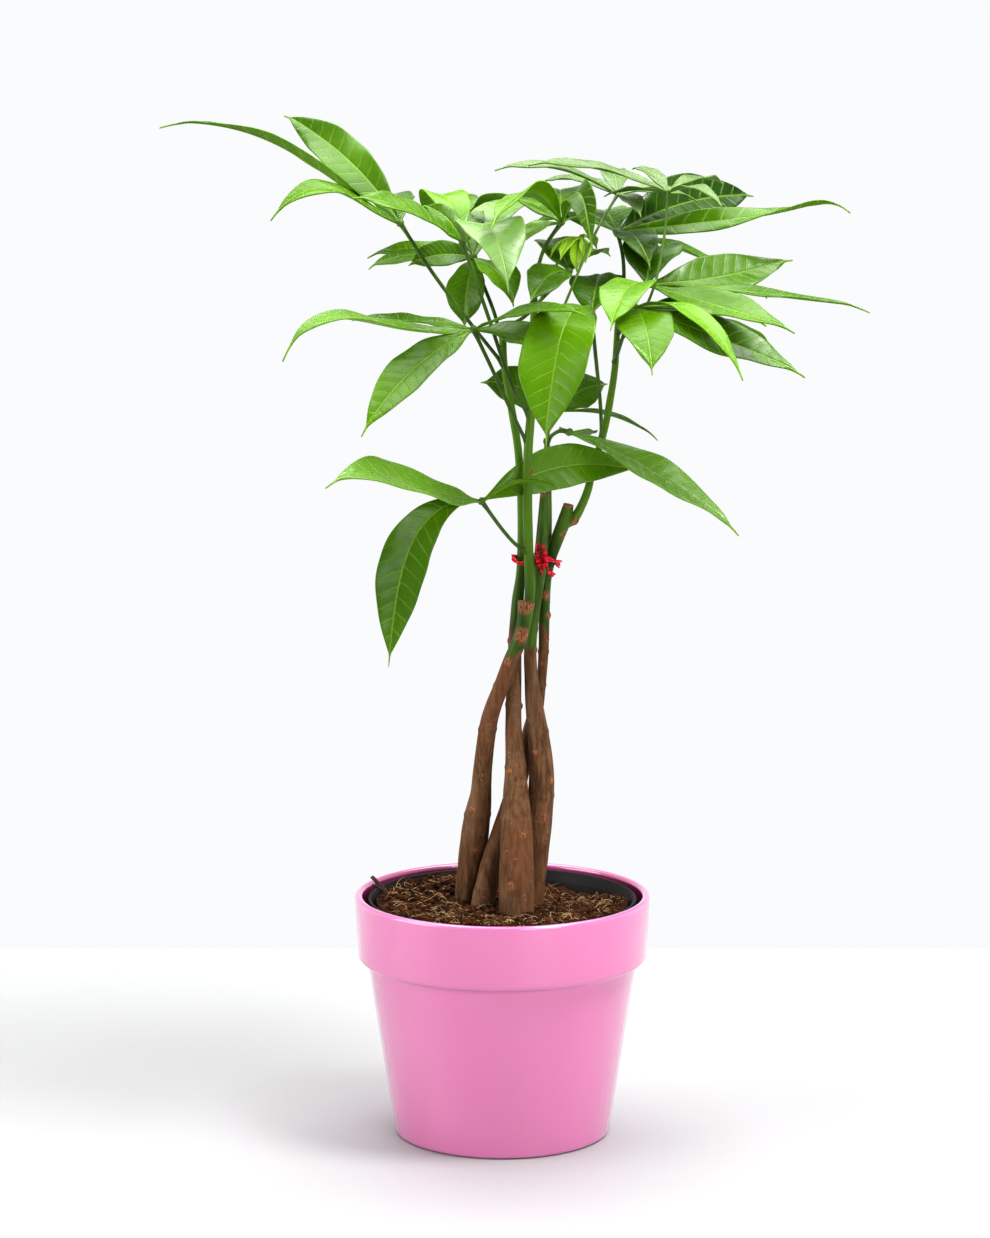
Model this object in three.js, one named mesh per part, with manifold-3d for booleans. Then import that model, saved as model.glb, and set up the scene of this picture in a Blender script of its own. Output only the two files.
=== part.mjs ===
// A braided money tree in a nursery pot, standing in a glazed flower pot.
// Millimetres, +Z up, the origin at the middle of the flower pot's flat base.
// The camera side of the plant is -Y. Four slender trunks lean on each other
// and carry three green shoots, and every compound leaf is one piece: a thin
// stalk, a knob, and arched leaflets that spread from it.
import * as THREE from 'three';
import { mergeVertices } from 'three/addons/utils/BufferGeometryUtils.js';
import Module from 'manifold-3d';

const wasm = await Module();
wasm.setup();

// Driving dimensions
const CLEARANCE = 0.3;        // between two pieces that touch
const PLANTER_RADIUS = 72.5;  // at the lip
const PLANTER_HEIGHT = 119;
const BASE_RADIUS = 53;
const PLANTER_WALL = 4.6;
const FLOOR = 5;
const COLLAR_FOOT = 87.6;     // where the collar steps in to the body
const COLLAR_STEP = 2.4;
const POT_RIM_RADIUS = 65.8;  // nursery pot, nominal 13 cm
const POT_TOP = 117;
const POT_WALL = 1.3;
const POT_FLOOR = 2;
const POT_BASE_RADIUS = 45;
const POT_MOUTH_RADIUS = 63.4;
const DRAIN_HOLES = 6;
const DRAIN_RADIUS = 4;
const DRAIN_CIRCLE = 28;      // from the pot's axis to each hole
const SOIL_TOP = 112.5;
const BLADE = 0.8;            // thickness of a leaflet
const KEEL = 0.5;             // how far the rib stands out below
const FOLD = 12;              // degrees that each half rises from the rib
const HUB_RADIUS = 2.2;

const TURN = 40;              // sides of a turned piece
const UP = new THREE.Vector3(0, 0, 1);
const rad = THREE.MathUtils.degToRad;

// Materials
const colours = {
  glaze: [0xe88cbe, 0.16],
  plastic: [0x1d1c1e, 0.5],
  soil: [0x4a3120, 0.95],
  bark: [0x6d4a35, 0.85],
  leaf: [0x4f9a1e, 0.45],
  young: [0x93c765, 0.5],
  foil: [0xc0122b, 0.3],
  twig: [0x241a14, 0.8],
};
const material = (name) => new THREE.MeshStandardMaterial({
  color: colours[name][0],
  roughness: colours[name][1],
  metalness: name === 'foil' ? 0.6 : 0,
});

// Between a geometry and a closed solid that can be joined and cut
function solid(geometry) {
  const bare = geometry.index ? geometry.clone() : geometry;
  bare.deleteAttribute('normal');
  bare.deleteAttribute('uv');
  const merged = mergeVertices(bare, 1e-4);
  return new wasm.Manifold(new wasm.Mesh({
    numProp: 3,
    vertProperties: new Float32Array(merged.attributes.position.array),
    triVerts: new Uint32Array(merged.index.array),
  }));
}

function geometryOf(body) {
  const mesh = body.getMesh();
  const geometry = new THREE.BufferGeometry();
  geometry.setAttribute('position', new THREE.BufferAttribute(mesh.vertProperties, 3));
  geometry.setIndex(new THREE.BufferAttribute(mesh.triVerts, 1));
  geometry.computeVertexNormals();
  return geometry;
}

const join = (bodies) => bodies.reduce((whole, body) => whole.add(body));
const cut = (body, cutters) => cutters.reduce((rest, cutter) => rest.subtract(cutter), body);

// The largest body of a solid: a cut can leave a loose scrap
function largest(body) {
  const parts = body.decompose();
  return parts.reduce((best, part) => (part.volume() > best.volume() ? part : best));
}

// A closed skin over rings of points, from the first ring to the last
function skin(rings) {
  const count = rings[0].length;
  const positions = rings.flat().flatMap((point) => point.toArray());
  const index = [];
  for (let r = 0; r + 1 < rings.length; r += 1) {
    for (let i = 0; i < count; i += 1) {
      const a = r * count + i;
      const b = r * count + (i + 1) % count;
      index.push(a, b, b + count, a, b + count, a + count);
    }
  }
  const last = (rings.length - 1) * count;
  for (let i = 1; i + 1 < count; i += 1) {
    index.push(0, i + 1, i, last, last + i, last + i + 1);
  }
  const geometry = new THREE.BufferGeometry();
  geometry.setAttribute('position', new THREE.Float32BufferAttribute(positions, 3));
  geometry.setIndex(index);
  return geometry;
}

// A stem through points [x, y, z, radius]: round, with a smooth taper
function limb(points, sides, grow = 0, steps = 2) {
  const curve = new THREE.CatmullRomCurve3(points.map(([x, y, z]) => new THREE.Vector3(x, y, z)));
  const spans = points.length - 1;
  const count = spans * steps;
  const side = new THREE.Vector3(1, 0, 0);
  const rings = [];
  for (let k = 0; k <= count; k += 1) {
    const at = k / steps;
    const from = Math.min(Math.floor(at), spans - 1);
    const radius = THREE.MathUtils.lerp(points[from][3], points[from + 1][3], at - from) + grow;
    const tangent = curve.getTangent(k / count);
    side.addScaledVector(tangent, -side.dot(tangent)).normalize();
    const other = tangent.clone().cross(side);
    const middle = curve.getPoint(k / count);
    if (k === 0) middle.addScaledVector(tangent, -grow);
    if (k === count) middle.addScaledVector(tangent, grow);
    const ring = [];
    for (let i = 0; i < sides; i += 1) {
      const turn = 2 * Math.PI * i / sides;
      ring.push(middle.clone()
        .addScaledVector(side, radius * Math.cos(turn))
        .addScaledVector(other, radius * Math.sin(turn)));
    }
    rings.push(ring);
  }
  return solid(skin(rings));
}

// The trunks, from about 50 mm down in the soil to the pruned top, each with
// the green shoots that grew from it: rows of [x, y, z, radius]
const TRUNKS = {
  trunk_left: {
    sides: 9,
    stems: [
      [[-22, 12, 66, 2.5], [-20, 10, 92, 5], [-18.2, 9, 110, 5.2], [-16.4, 8, 128, 5.9],
        [-13.6, 7, 146, 6.8], [-12, 6, 157, 6.4], [-10.5, 5, 168, 5.2], [-9.4, 2, 182, 4.5],
        [-7.2, -2.5, 201, 4.3], [-4.6, -6, 212, 4], [-0.2, -8.5, 224, 3.7], [3.2, -9.5, 234, 3.5],
        [7.5, -9.5, 244, 3.6], [10.3, -9, 254, 3.5], [11.6, -8.5, 264.5, 4.2]],
      [[11.6, -8.5, 258, 2], [13.2, -8.4, 268, 2.6], [12.5, -10, 290, 2.3], [11.9, -13.5, 314, 2.3],
        [12.2, -14, 338, 2.2], [13.6, -10.5, 356, 2.1], [14.5, -7, 385, 1.9], [15, -5, 409, 1.5]],
    ],
  },
  trunk_front: {
    sides: 9,
    stems: [
      [[9, -20, 62, 3], [8, -19, 90, 7], [7, -18.5, 110, 8.6], [6.8, -17, 128, 8.5],
        [6.8, -14.5, 144, 8.1], [6.6, -11.5, 159, 7.3], [6.6, -9, 170, 6.3], [6.3, -6.5, 183, 5],
        [5.5, -4, 201, 4], [5.4, -2, 213, 3.8], [5.8, -0.5, 228, 3.4], [6.1, 0.5, 244, 3.2],
        [7.5, 1, 264, 2.9], [8.8, 1, 276, 2.3], [9, 2, 290, 1.8], [8.8, 2.5, 317, 1.8],
        [7.5, 3, 337, 1.9], [4.1, 4, 358, 1.8], [0.8, 5, 378, 1.7], [0.2, 5, 397, 1.5]],
    ],
  },
  trunk_right: {
    sides: 9,
    stems: [
      [[11, 4, 64, 2.5], [12.5, 2, 92, 5], [14, 0.5, 112, 5.8], [15.4, 0, 130, 6.2],
        [17.4, -1, 150, 6.4], [18.9, -1.5, 168, 6.3], [19, -2, 183, 5.8], [17.2, -2, 200, 5],
        [15.4, -2, 213, 4.3], [14, -2, 227, 3.3], [13.5, -2, 239, 3], [14.4, -1, 250, 2.7],
        [16.4, -1, 266, 2.8], [18.1, -1, 281, 3.2], [19.6, 0, 300, 2.9], [20.2, 0.5, 316, 2.1]],
    ],
  },
  trunk_back: {
    sides: 9,
    stems: [
      [[-16, -6, 66, 2.5], [-13, -4, 90, 5], [-9.7, -2.5, 113, 5.8], [-7.4, -0.5, 124, 5.6],
        [-4.5, 1.5, 136, 5.2], [0.4, 4, 150, 5], [5.2, 6.5, 165, 4.8], [9.6, 8, 181, 4.5],
        [13.5, 9, 196, 4.1], [16.8, 9, 210, 3.3], [18.8, 7.5, 221, 2.4], [20, 4.5, 238, 2.4],
        [20.4, 4.5, 262, 2.7], [21.2, 4.5, 275, 2.8], [23.2, 3.5, 284, 2.9], [27, 2, 295, 3.2],
        [30.7, 2, 305, 3.1], [32, 2, 310.5, 2.4]],
      [[30, 2, 300, 2], [34.6, 2.5, 303.5, 2.4], [38, 4, 309, 2.1], [41.4, 7, 317, 1.9],
        [43.8, 10, 328, 1.8], [48.4, 10, 342, 1.7], [51.7, 8, 359, 1.7], [54, 5, 376, 1.6],
        [55.2, 2, 400, 1.4]],
      [[21, 4.6, 272, 1.8], [21.8, 5.6, 284, 1.7], [22.4, 6, 304, 1.6], [21.6, 6, 336, 1.3],
        [21, 6, 342, 1.1]],
    ],
  },
};

// Knobs, scars and pruned buds that stand out from the bark: [x, y, z, radius]
const KNOBS = {
  trunk_left: [[-15.2, 0.4, 160, 1.6], [-10, -0.4, 178, 1.2], [10.8, -12, 258, 1.6], [8, -8.4, 263, 2.2],
    [13.8, -15.4, 328, 1]],
  trunk_front: [[3.4, -10.6, 182, 1.4], [9.4, -11.6, 176, 1.2], [3, 1, 244, 1], [9.6, -1.6, 212, 1]],
  trunk_right: [[23.8, -5.4, 176, 1.6], [15.2, -7.6, 190, 1.4], [16.8, -2.6, 240, 1]],
  trunk_back: [[22.4, 3, 256, 1.4], [20.8, 2, 266, 1.6], [35.2, 0.8, 302, 1.5]],
};

// The limbs of one trunk, all a little thicker where they cut a neighbour
function trunkSolid(name, grow = 0) {
  const { sides, stems } = TRUNKS[name];
  const bodies = stems.map((points) => limb(points, sides, grow, 1));
  KNOBS[name].forEach(([x, y, z, radius]) => {
    const knob = new THREE.SphereGeometry(radius + grow, 6, 4);
    bodies.push(solid(knob.translate(x, y, z)));
  });
  return join(bodies);
}

// Leaves. Each has the stem that it grew from, the points of its stalk from that
// stem to the hub, and its leaflets, as rows of [heading, rise, length, arch,
// width, roll, peak, twist] in degrees and millimetres. The heading turns from
// +X towards +Y, a rise above zero points upwards, and a roll above zero lifts
// the right-hand edge, seen from the hub. The peak is where along the leaflet
// the arch is highest, and the twist is what the roll gains by the tip.
const LEAVES = {
  leaf_01: {
    stem: 'trunk_front', stalk: [[0.9, 5, 377], [-16, 7, 398], [-34, 9, 422]], hub: [-49, 10, 445],
    leaflets: [[-175, 23, 124, 12, 17, -10, 0.6], [130, 29, 108, 6, 21, 42, 0.45],
      [-152, 3, 69, 15, 15, 25, 0.6], [100, 4, 84, 8, 25, 0]],
  },
  leaf_02: {
    stem: 'trunk_left', stalk: [[13.3, -11.2, 353], [5, -11, 368], [-8, -9.5, 405]],
    hub: [-19, -12, 437],
    leaflets: [[-147, 21, 64, 4, 19, 30], [113, 12, 52, 16, 22, 0], [165, 42, 26, 3, 12, 40],
      [-71, -16, 71, 19, 31, 0]],
  },
  leaf_03: {
    stem: 'trunk_left', stalk: [[15, -5, 408], [16, -5, 420], [20, -5, 434]], hub: [28, -5, 446],
    leaflets: [[-116, 1, 78, 15, 17, -20, 0.45], [-74, -14, 50, 21, 14, -45], [90, 3, 80, 12, 26, 0],
      [66, -8, 35, 4, 16, 0], [128, 4, 76, 8, 24, 0],
      [-135, -18, 40, 3, 20, 0]],
  },
  leaf_04: {
    stem: 'trunk_left', stalk: [[14, -9.3, 363], [22, -8, 388], [33, -5, 415], [45, 12, 441]],
    hub: [56, 35, 458],
    young: true,
    leaflets: [[-160, 12, 65, 6, 12, 15], [137, 6, 52, 4, 12, 10], [-74, -14, 38, 3, 11, 0],
      [25, -5, 46, 4, 11, -20], [92, 10, 50, 5, 14, 0]],
  },
  leaf_05: {
    stem: 'trunk_back', stalk: [[55.2, 2, 399], [58, 13, 411], [58.5, 27, 427]], hub: [56, 38, 440],
    leaflets: [[39, 10, 94, 5, 28, -62, 0.5], [-10, 6, 115, 4, 15, -90, 0.88, 120],
      [15, -22, 85, 4, 17, -10], [-74, -16, 54, 6, 20, 0], [175, 4, 45, 5, 22, 0], [98, 1, 78, 8, 27, 0]],
  },
  leaf_06: {
    stem: 'trunk_back', stalk: [[55.1, 2.6, 393], [60, -4, 403], [65, -9, 411]], hub: [68, -12, 417],
    leaflets: [[32, 7, 88, -3, 23, -45], [78, 16, 53, 8, 29, 0], [6, -6, 109, 1, 15, -10, 0.4],
      [-37, -12, 85, 0, 22, -20], [-108, -15, 64, 8, 25, 0]],
  },
  leaf_07: {
    stem: 'trunk_back', stalk: [[54.1, 4.6, 379], [56, -10, 388], [59, -21, 399]],
    hub: [62, -28, 407],
    leaflets: [[10, -7, 65, 4, 19, -15], [-47, -22, 77, 13, 14, 0, 0.45], [-14, -20, 87, 1, 23, -35],
      [-83, -27, 59, 8, 27, 0], [41, -13, 98, 5, 18, -10]],
  },
  leaf_08: {
    stem: 'trunk_left', stalk: [[12.4, -13.8, 340], [5, -14, 355], [-5, -15, 377]],
    hub: [-14, -15, 396],
    leaflets: [[-162, -7, 96, 15, 19, 10, 0.72], [-136, -32, 85, 6, 21, 26],
      [160, 4, 62, 1, 15, 10], [-47, 9, 76, 4, 14, -20], [-12, -17, 46, 4, 19, -25]],
  },
  leaf_09: {
    stem: 'trunk_back', stalk: [[48, 10, 341], [47, -1, 358], [44, -14, 385]], hub: [42, -20, 404],
    leaflets: [[-112, -43, 84, 21, 36, 0, 0.36], [84, 15, 62, 3, 26, 0]],
  },
  leaf_10: {
    stem: 'trunk_left', stalk: [[12.6, -10.2, 288], [6, -12, 293], [0, -14, 300]],
    hub: [-10, -16, 314],
    leaflets: [[-142, 9, 92, 8, 23, 34, 0.72], [-149, -56, 92, 22, 23, 60, 0.36],
      [21, 8, 84, 9, 21, -70], [-20, 12, 41, 6, 6, 0]],
  },
  leaf_11: {
    stem: 'trunk_back', stalk: [[21.2, 6, 340], [24, 1, 344], [28, -4, 346.5]], hub: [32, -5, 346],
    leaflets: [[-17, -28, 96, 4, 21, -22, 0.45], [78, -9, 46, 1, 18, 0]],
  },
  leaf_12: {
    stem: 'trunk_front', stalk: [[0.4, 5, 386], [-4, 12, 402], [-10, 21, 417]], hub: [-14, 25, 428],
    leaflets: [[130, -5, 85, 4, 16, 40], [160, 0, 56, 4, 14, 20], [-175, -6, 32, 3, 16, 50],
      [68, 16, 86, 12, 25, 0], [102, 20, 81, 10, 23, 0], [-50, -35, 38, 5, 22, 0],
      [-110, -68, 36, 3, 20, 0]],
  },
  leaf_13: {
    stem: 'trunk_back', stalk: [[54.6, 3.6, 387], [64, -9, 399], [71, -20, 415], [76, -12, 436]],
    hub: [79, 5, 460],
    young: true,
    leaflets: [[118, 18, 36, 3, 10, 0], [150, -3, 35, 2, 10, 0], [-56, -7, 43, 5, 10, 0],
      [-172, 12, 69, 4, 14, 15], [50, 5, 45, 4, 12, 0]],
  },
  leaf_14: {
    stem: 'trunk_back', stalk: [[21.6, 6, 336], [22, 12, 344], [24, 18, 350]], hub: [26, 20, 354],
    leaflets: [[168, 20, 40, 4, 22, 55], [20, 25, 30, 3, 20, -55], [-14, -14, 52, 5, 10, 0]],
  },
  leaf_15: {
    stem: 'trunk_front', stalk: [[0.2, 5, 395], [10, 7, 400], [21, 9, 411]], hub: [32, 10, 422],
    leaflets: [[-111, -12, 56, 5, 19, 20], [66, 7, 53, 5, 14, 0], [104, 14, 52, 5, 21, 0]],
  },
  leaf_16: {
    stem: 'trunk_left', stalk: [[14.8, -5.6, 400], [20, 1, 413], [29, 11, 430]], hub: [38, 16, 438],
    young: true,
    leaflets: [[-128, -30, 20, 3, 7, 0], [60, -20, 17, 3, 6, 0], [-75, -60, 14, 3, 6, 0],
      [-110, -66, 18, 3, 7, 0], [-170, -30, 18, 3, 6, 0]],
  },
};

// Where a blade has its cross-ribs, from its foot to its tip
const STATIONS = [0, 0.1, 0.26, 0.44, 0.61, 0.77, 0.9, 1];
const SHORT_STATIONS = [0, 0.16, 0.4, 0.64, 0.86, 1];
const SHORT = 58;             // a leaflet up to this length has fewer ribs

// The outline of a leaflet: a drawn foot, full past the middle, then a thin tip
const BODY = 0.95;            // the share of the length before the thin tip
const THIN = 0.8;             // half the width of the foot and of the tip
function outline(s) {
  const t = Math.min(1, s / BODY);
  return 4.91 * t ** 1.2 * (1 - t) ** 1.1;
}

function blade(hub, [heading, rise, length, arch, width, roll, peak = 0.5, twist = 0]) {
  const [a, r] = [rad(heading), rad(rise)];
  const skew = Math.log(0.5) / Math.log(peak);
  const along = new THREE.Vector3(Math.cos(r) * Math.cos(a), Math.cos(r) * Math.sin(a), Math.sin(r));
  const right = new THREE.Vector3(Math.sin(a), -Math.cos(a), 0);
  const up = right.clone().cross(along);
  const stations = length > SHORT ? STATIONS : SHORT_STATIONS;
  const place = (s) => hub.clone().addScaledVector(along, s * length)
    .addScaledVector(up, arch * Math.sin(Math.PI * s ** skew));
  const rings = stations.map((s) => {
    const rib = place(s);
    const tangent = place(s + 0.01).sub(place(Math.max(0, s - 0.01))).normalize();
    const turn = rad(roll + twist * s);
    const flank = right.clone().multiplyScalar(Math.cos(turn)).addScaledVector(up, Math.sin(turn));
    const across = flank.clone().addScaledVector(tangent, -flank.dot(tangent)).normalize();
    const face = across.clone().cross(tangent);
    const half = Math.max(THIN, outline(s) * width / 2);
    const lift = half * Math.tan(rad(FOLD));
    const wave = 0.035 * width * Math.sin(3.2 * Math.PI * s);
    const edge = (sign, level) => rib.clone().addScaledVector(across, sign * half)
      .addScaledVector(face, lift + sign * wave + level);
    return [
      edge(-1, BLADE / 2), rib.clone().addScaledVector(face, BLADE / 2), edge(1, BLADE / 2),
      edge(1, -BLADE / 2), rib.clone().addScaledVector(face, -BLADE / 2 - KEEL), edge(-1, -BLADE / 2),
    ];
  });
  return solid(bladeSkin(rings));
}

// Six points a ring: left, rib and right above, then right, keel and left
// below. Both faces are split on the same diagonals.
function bladeSkin(rings) {
  const positions = rings.flat().flatMap((point) => point.toArray());
  const index = [];
  for (let r = 0; r + 1 < rings.length; r += 1) {
    const [a, b] = [r * 6, (r + 1) * 6];
    index.push(a, a + 1, b + 1, a, b + 1, b, a + 1, a + 2, b + 2, a + 1, b + 2, b + 1);
    index.push(a + 5, b + 4, a + 4, a + 5, b + 5, b + 4, a + 4, b + 3, a + 3, a + 4, b + 4, b + 3);
    index.push(a + 2, a + 3, b + 3, a + 2, b + 3, b + 2, a + 5, a, b, a + 5, b, b + 5);
  }
  const last = (rings.length - 1) * 6;
  for (const [i, j, k] of [[0, 1, 5], [1, 4, 5], [1, 2, 4], [2, 3, 4]]) {
    index.push(i, k, j, last + i, last + j, last + k);
  }
  const geometry = new THREE.BufferGeometry();
  geometry.setAttribute('position', new THREE.Float32BufferAttribute(positions, 3));
  geometry.setIndex(index);
  return geometry;
}

function leafSolid({ stalk, hub, leaflets, young }) {
  const middle = new THREE.Vector3(...hub);
  const knob = (young ? 0.7 : 1) * HUB_RADIUS;
  const foot = stalk.map((point, i) => [...point, i === 0 ? 1.7 : 1]);
  const bodies = [limb([...foot, [...hub, 1.2]], 5)];
  bodies.push(solid(new THREE.SphereGeometry(knob, 6, 3).translate(...hub)));
  leaflets.forEach((leaflet) => bodies.push(blade(middle, leaflet)));
  return join(bodies);
}

// Turned pieces, from their profiles [radius, height]
function turned(profile) {
  const points = profile.map(([x, y]) => new THREE.Vector2(x, y));
  return new THREE.LatheGeometry(points, TURN).rotateX(Math.PI / 2);
}

function planter() {
  const neck = COLLAR_FOOT - 1.2;
  const body = PLANTER_RADIUS - 3.7 - COLLAR_STEP;
  const lip = PLANTER_RADIUS;
  return turned([
    [0, 0], [BASE_RADIUS - 1.4, 0], [BASE_RADIUS - 0.3, 0.7], [BASE_RADIUS, 2],
    [body, neck], [lip - 3.6, COLLAR_FOOT], [lip - 1.9, COLLAR_FOOT + 2], [lip - 1.3, COLLAR_FOOT + 5],
    [lip - 0.1, PLANTER_HEIGHT - 5.5], [lip - 0.3, PLANTER_HEIGHT - 2], [lip - 1.6, PLANTER_HEIGHT - 0.2],
    [lip - 3, PLANTER_HEIGHT - 0.3], [lip - 4, PLANTER_HEIGHT - 2.2], [lip - 5, COLLAR_FOOT + 4],
    [body - PLANTER_WALL, neck - 3], [BASE_RADIUS - PLANTER_WALL + 0.6, FLOOR + 4],
    [BASE_RADIUS - PLANTER_WALL - 3, FLOOR], [0, FLOOR],
  ]);
}

// The inner radius of the nursery pot at a height
const POT_FOOT = FLOOR + CLEARANCE;
function potInside(z) {
  const share = (z - POT_FOOT) / (POT_TOP - 5 - POT_FOOT);
  return THREE.MathUtils.lerp(POT_BASE_RADIUS, POT_MOUTH_RADIUS, Math.min(1, share)) - POT_WALL;
}

function nurseryPot() {
  const body = solid(turned([
    [0, POT_FOOT], [POT_BASE_RADIUS - 1, POT_FOOT], [POT_BASE_RADIUS, POT_FOOT + 1],
    [POT_MOUTH_RADIUS, POT_TOP - 5], [POT_RIM_RADIUS - 0.4, POT_TOP - 4.6], [POT_RIM_RADIUS, POT_TOP - 0.6],
    [POT_RIM_RADIUS - 0.6, POT_TOP], [POT_RIM_RADIUS - 1.4, POT_TOP - 0.4],
    [POT_MOUTH_RADIUS - POT_WALL, POT_TOP - 5],
    [potInside(POT_FOOT + POT_FLOOR), POT_FOOT + POT_FLOOR], [0, POT_FOOT + POT_FLOOR],
  ]));
  const holes = [];
  for (let k = 0; k < DRAIN_HOLES; k += 1) {
    const turn = 2 * Math.PI * k / DRAIN_HOLES;
    const drain = new THREE.CylinderGeometry(DRAIN_RADIUS, DRAIN_RADIUS, 12, 8).rotateX(Math.PI / 2);
    const [x, y] = [DRAIN_CIRCLE * Math.cos(turn), DRAIN_CIRCLE * Math.sin(turn)];
    holes.push(solid(drain.translate(x, y, POT_FOOT)));
  }
  return cut(body, holes);
}

// The soil's surface: heaped round the trunks and at the brim, sunk at the
// right rear, and lumpy
function soilHeight(x, y) {
  const heap = 1.6 * Math.exp(-(x * x + y * y) / 900);
  const sunk = 6 * Math.exp(-((x - 34) ** 2 + (y - 38) ** 2) / 620);
  const lumps = 0.7 * Math.sin(0.31 * x + 1.3) * Math.cos(0.27 * y) + 0.45 * Math.sin(0.7 * x - 0.62 * y);
  const corner = Math.exp(-((x - 34) ** 2 + (y - 38) ** 2) / 1500);
  const brim = 3 * THREE.MathUtils.smoothstep(Math.hypot(x, y), 26, 58) * (1 - corner);
  return SOIL_TOP + heap - sunk + brim + lumps;
}

function soil() {
  const levels = [
    [0.5, POT_FOOT + POT_FLOOR + CLEARANCE], [1, POT_FOOT + POT_FLOOR + CLEARANCE],
  ];
  const shares = [1, 0.86, 0.7, 0.54, 0.38, 0.2];
  const sides = 36;
  const ring = (place) => Array.from({ length: sides }, (_, i) => place(2 * Math.PI * i / sides));
  const at = (radius, turn, z) => new THREE.Vector3(radius * Math.cos(turn), radius * Math.sin(turn), z);
  const rings = levels.map(([share, z]) => ring((turn) => at(share * (potInside(z) - CLEARANCE), turn, z)));
  const brim = potInside(SOIL_TOP) - CLEARANCE;
  shares.forEach((share) => rings.push(ring((turn) => {
    const [x, y] = [share * brim * Math.cos(turn), share * brim * Math.sin(turn)];
    const z = soilHeight(x, y);
    const radius = share * (potInside(Math.min(z, SOIL_TOP)) - CLEARANCE);
    return at(radius, turn, z);
  })));
  return solid(skin(rings));
}

// A twisted foil ribbon knotted round the three rear stems
const TIE_LOOP = [
  [5.2, 1, 284], [7.4, -3.4, 282.6], [13.4, -5, 283.5], [18.8, -6.2, 285], [24, -4, 284],
  [27.6, 1.5, 282], [26, 8.4, 281.5], [18, 10, 283], [9.4, 7, 284],
];
const TIE_TAILS = [
  [[17, -6.4, 284, 1.7], [17.6, -8, 288, 1.4], [16.6, -8, 291.5, 0.6]],
  [[19, -6.4, 284, 1.8], [22, -8.2, 280.5, 1.5], [25, -8, 277, 0.7]],
];
const TIE_KNOT = [18, -6.4, 284.4];
const KNOT_RADIUS = 2.2;
const RIBBON_WIDTH = 3;
const RIBBON_THICKNESS = 1;
const RIBBON_RINGS = 26;
const RIBBON_TWISTS = 2;      // full turns of the ribbon on its way round

function tie(cutters) {
  const loop = new THREE.CatmullRomCurve3(TIE_LOOP.map((point) => new THREE.Vector3(...point)), true);
  const rings = Array.from({ length: RIBBON_RINGS }, (_, k) => {
    const share = k / RIBBON_RINGS;
    const tangent = loop.getTangent(share);
    const out = tangent.clone().cross(UP).normalize();
    const turn = 2 * Math.PI * RIBBON_TWISTS * share;
    const flat = UP.clone().multiplyScalar(Math.cos(turn)).addScaledVector(out, Math.sin(turn));
    const thin = tangent.clone().cross(flat).normalize();
    return [[-1, -1], [1, -1], [1, 1], [-1, 1]].map(([f, t]) => loop.getPoint(share)
      .addScaledVector(flat, f * RIBBON_WIDTH / 2).addScaledVector(thin, t * RIBBON_THICKNESS / 2));
  });
  const geometry = ringSkin(rings);
  const bodies = [solid(geometry), ...TIE_TAILS.map((points) => limb(points, 6))];
  bodies.push(solid(new THREE.SphereGeometry(KNOT_RADIUS, 6, 4).translate(...TIE_KNOT)));
  return largest(cut(join(bodies), cutters));
}

// A closed skin over rings that run round and meet
function ringSkin(rings) {
  const count = rings[0].length;
  const positions = rings.flat().flatMap((point) => point.toArray());
  const index = [];
  for (let r = 0; r < rings.length; r += 1) {
    for (let i = 0; i < count; i += 1) {
      const beside = (i + 1) % count;
      const [here, next] = [r * count, ((r + 1) % rings.length) * count];
      index.push(here + i, here + beside, next + beside, here + i, next + beside, next + i);
    }
  }
  const geometry = new THREE.BufferGeometry();
  geometry.setAttribute('position', new THREE.Float32BufferAttribute(positions, 3));
  geometry.setIndex(index);
  return geometry;
}

// A forked chip of bark, stuck in the soil at the left
const TWIG = [
  [[-53, 10, 108, 1], [-59, 11, 118.6, 1.2], [-64.5, 12, 124.5, 0.8]],
  [[-58, 11, 117, 1], [-61, 10, 119.4, 0.9], [-64, 8.4, 121, 0.6]],
];

// The whole plant
const plant = new THREE.Group();

function addMesh(name, geometry, finish) {
  const mesh = new THREE.Mesh(geometry, material(finish));
  mesh.name = name;
  plant.add(mesh);
}

const names = Object.keys(TRUNKS);
const grown = Object.fromEntries(names.map((name) => [name, trunkSolid(name, CLEARANCE)]));
const twigBody = join(TWIG.map((points) => limb(points, 5, 0, 1)));
const twigGrown = join(TWIG.map((points) => limb(points, 5, CLEARANCE, 1)));

addMesh('planter', planter(), 'glaze');
addMesh('nursery_pot', geometryOf(nurseryPot()), 'plastic');
addMesh('soil', geometryOf(largest(cut(soil(), [...Object.values(grown), twigGrown]))), 'soil');
names.forEach((name, i) => {
  const earlier = names.slice(0, i).map((other) => grown[other]);
  addMesh(name, geometryOf(largest(cut(trunkSolid(name), earlier))), 'bark');
});
addMesh('twig', geometryOf(twigBody), 'twig');
addMesh('tie', geometryOf(tie(Object.values(grown))), 'foil');
Object.entries(LEAVES).forEach(([name, leaf]) => {
  const body = largest(cut(leafSolid(leaf), [grown[leaf.stem]]));
  addMesh(name, geometryOf(body), leaf.young ? 'young' : 'leaf');
});

export default plant;
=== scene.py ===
# A braided money tree in a nursery pot, standing in a glazed flower pot.
# Sizes and places in the tables are millimetres in the frame of the solids,
# and add_piece scales them to metres.
import math

import bmesh
import bpy
import numpy as np
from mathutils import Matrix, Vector, noise


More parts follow.
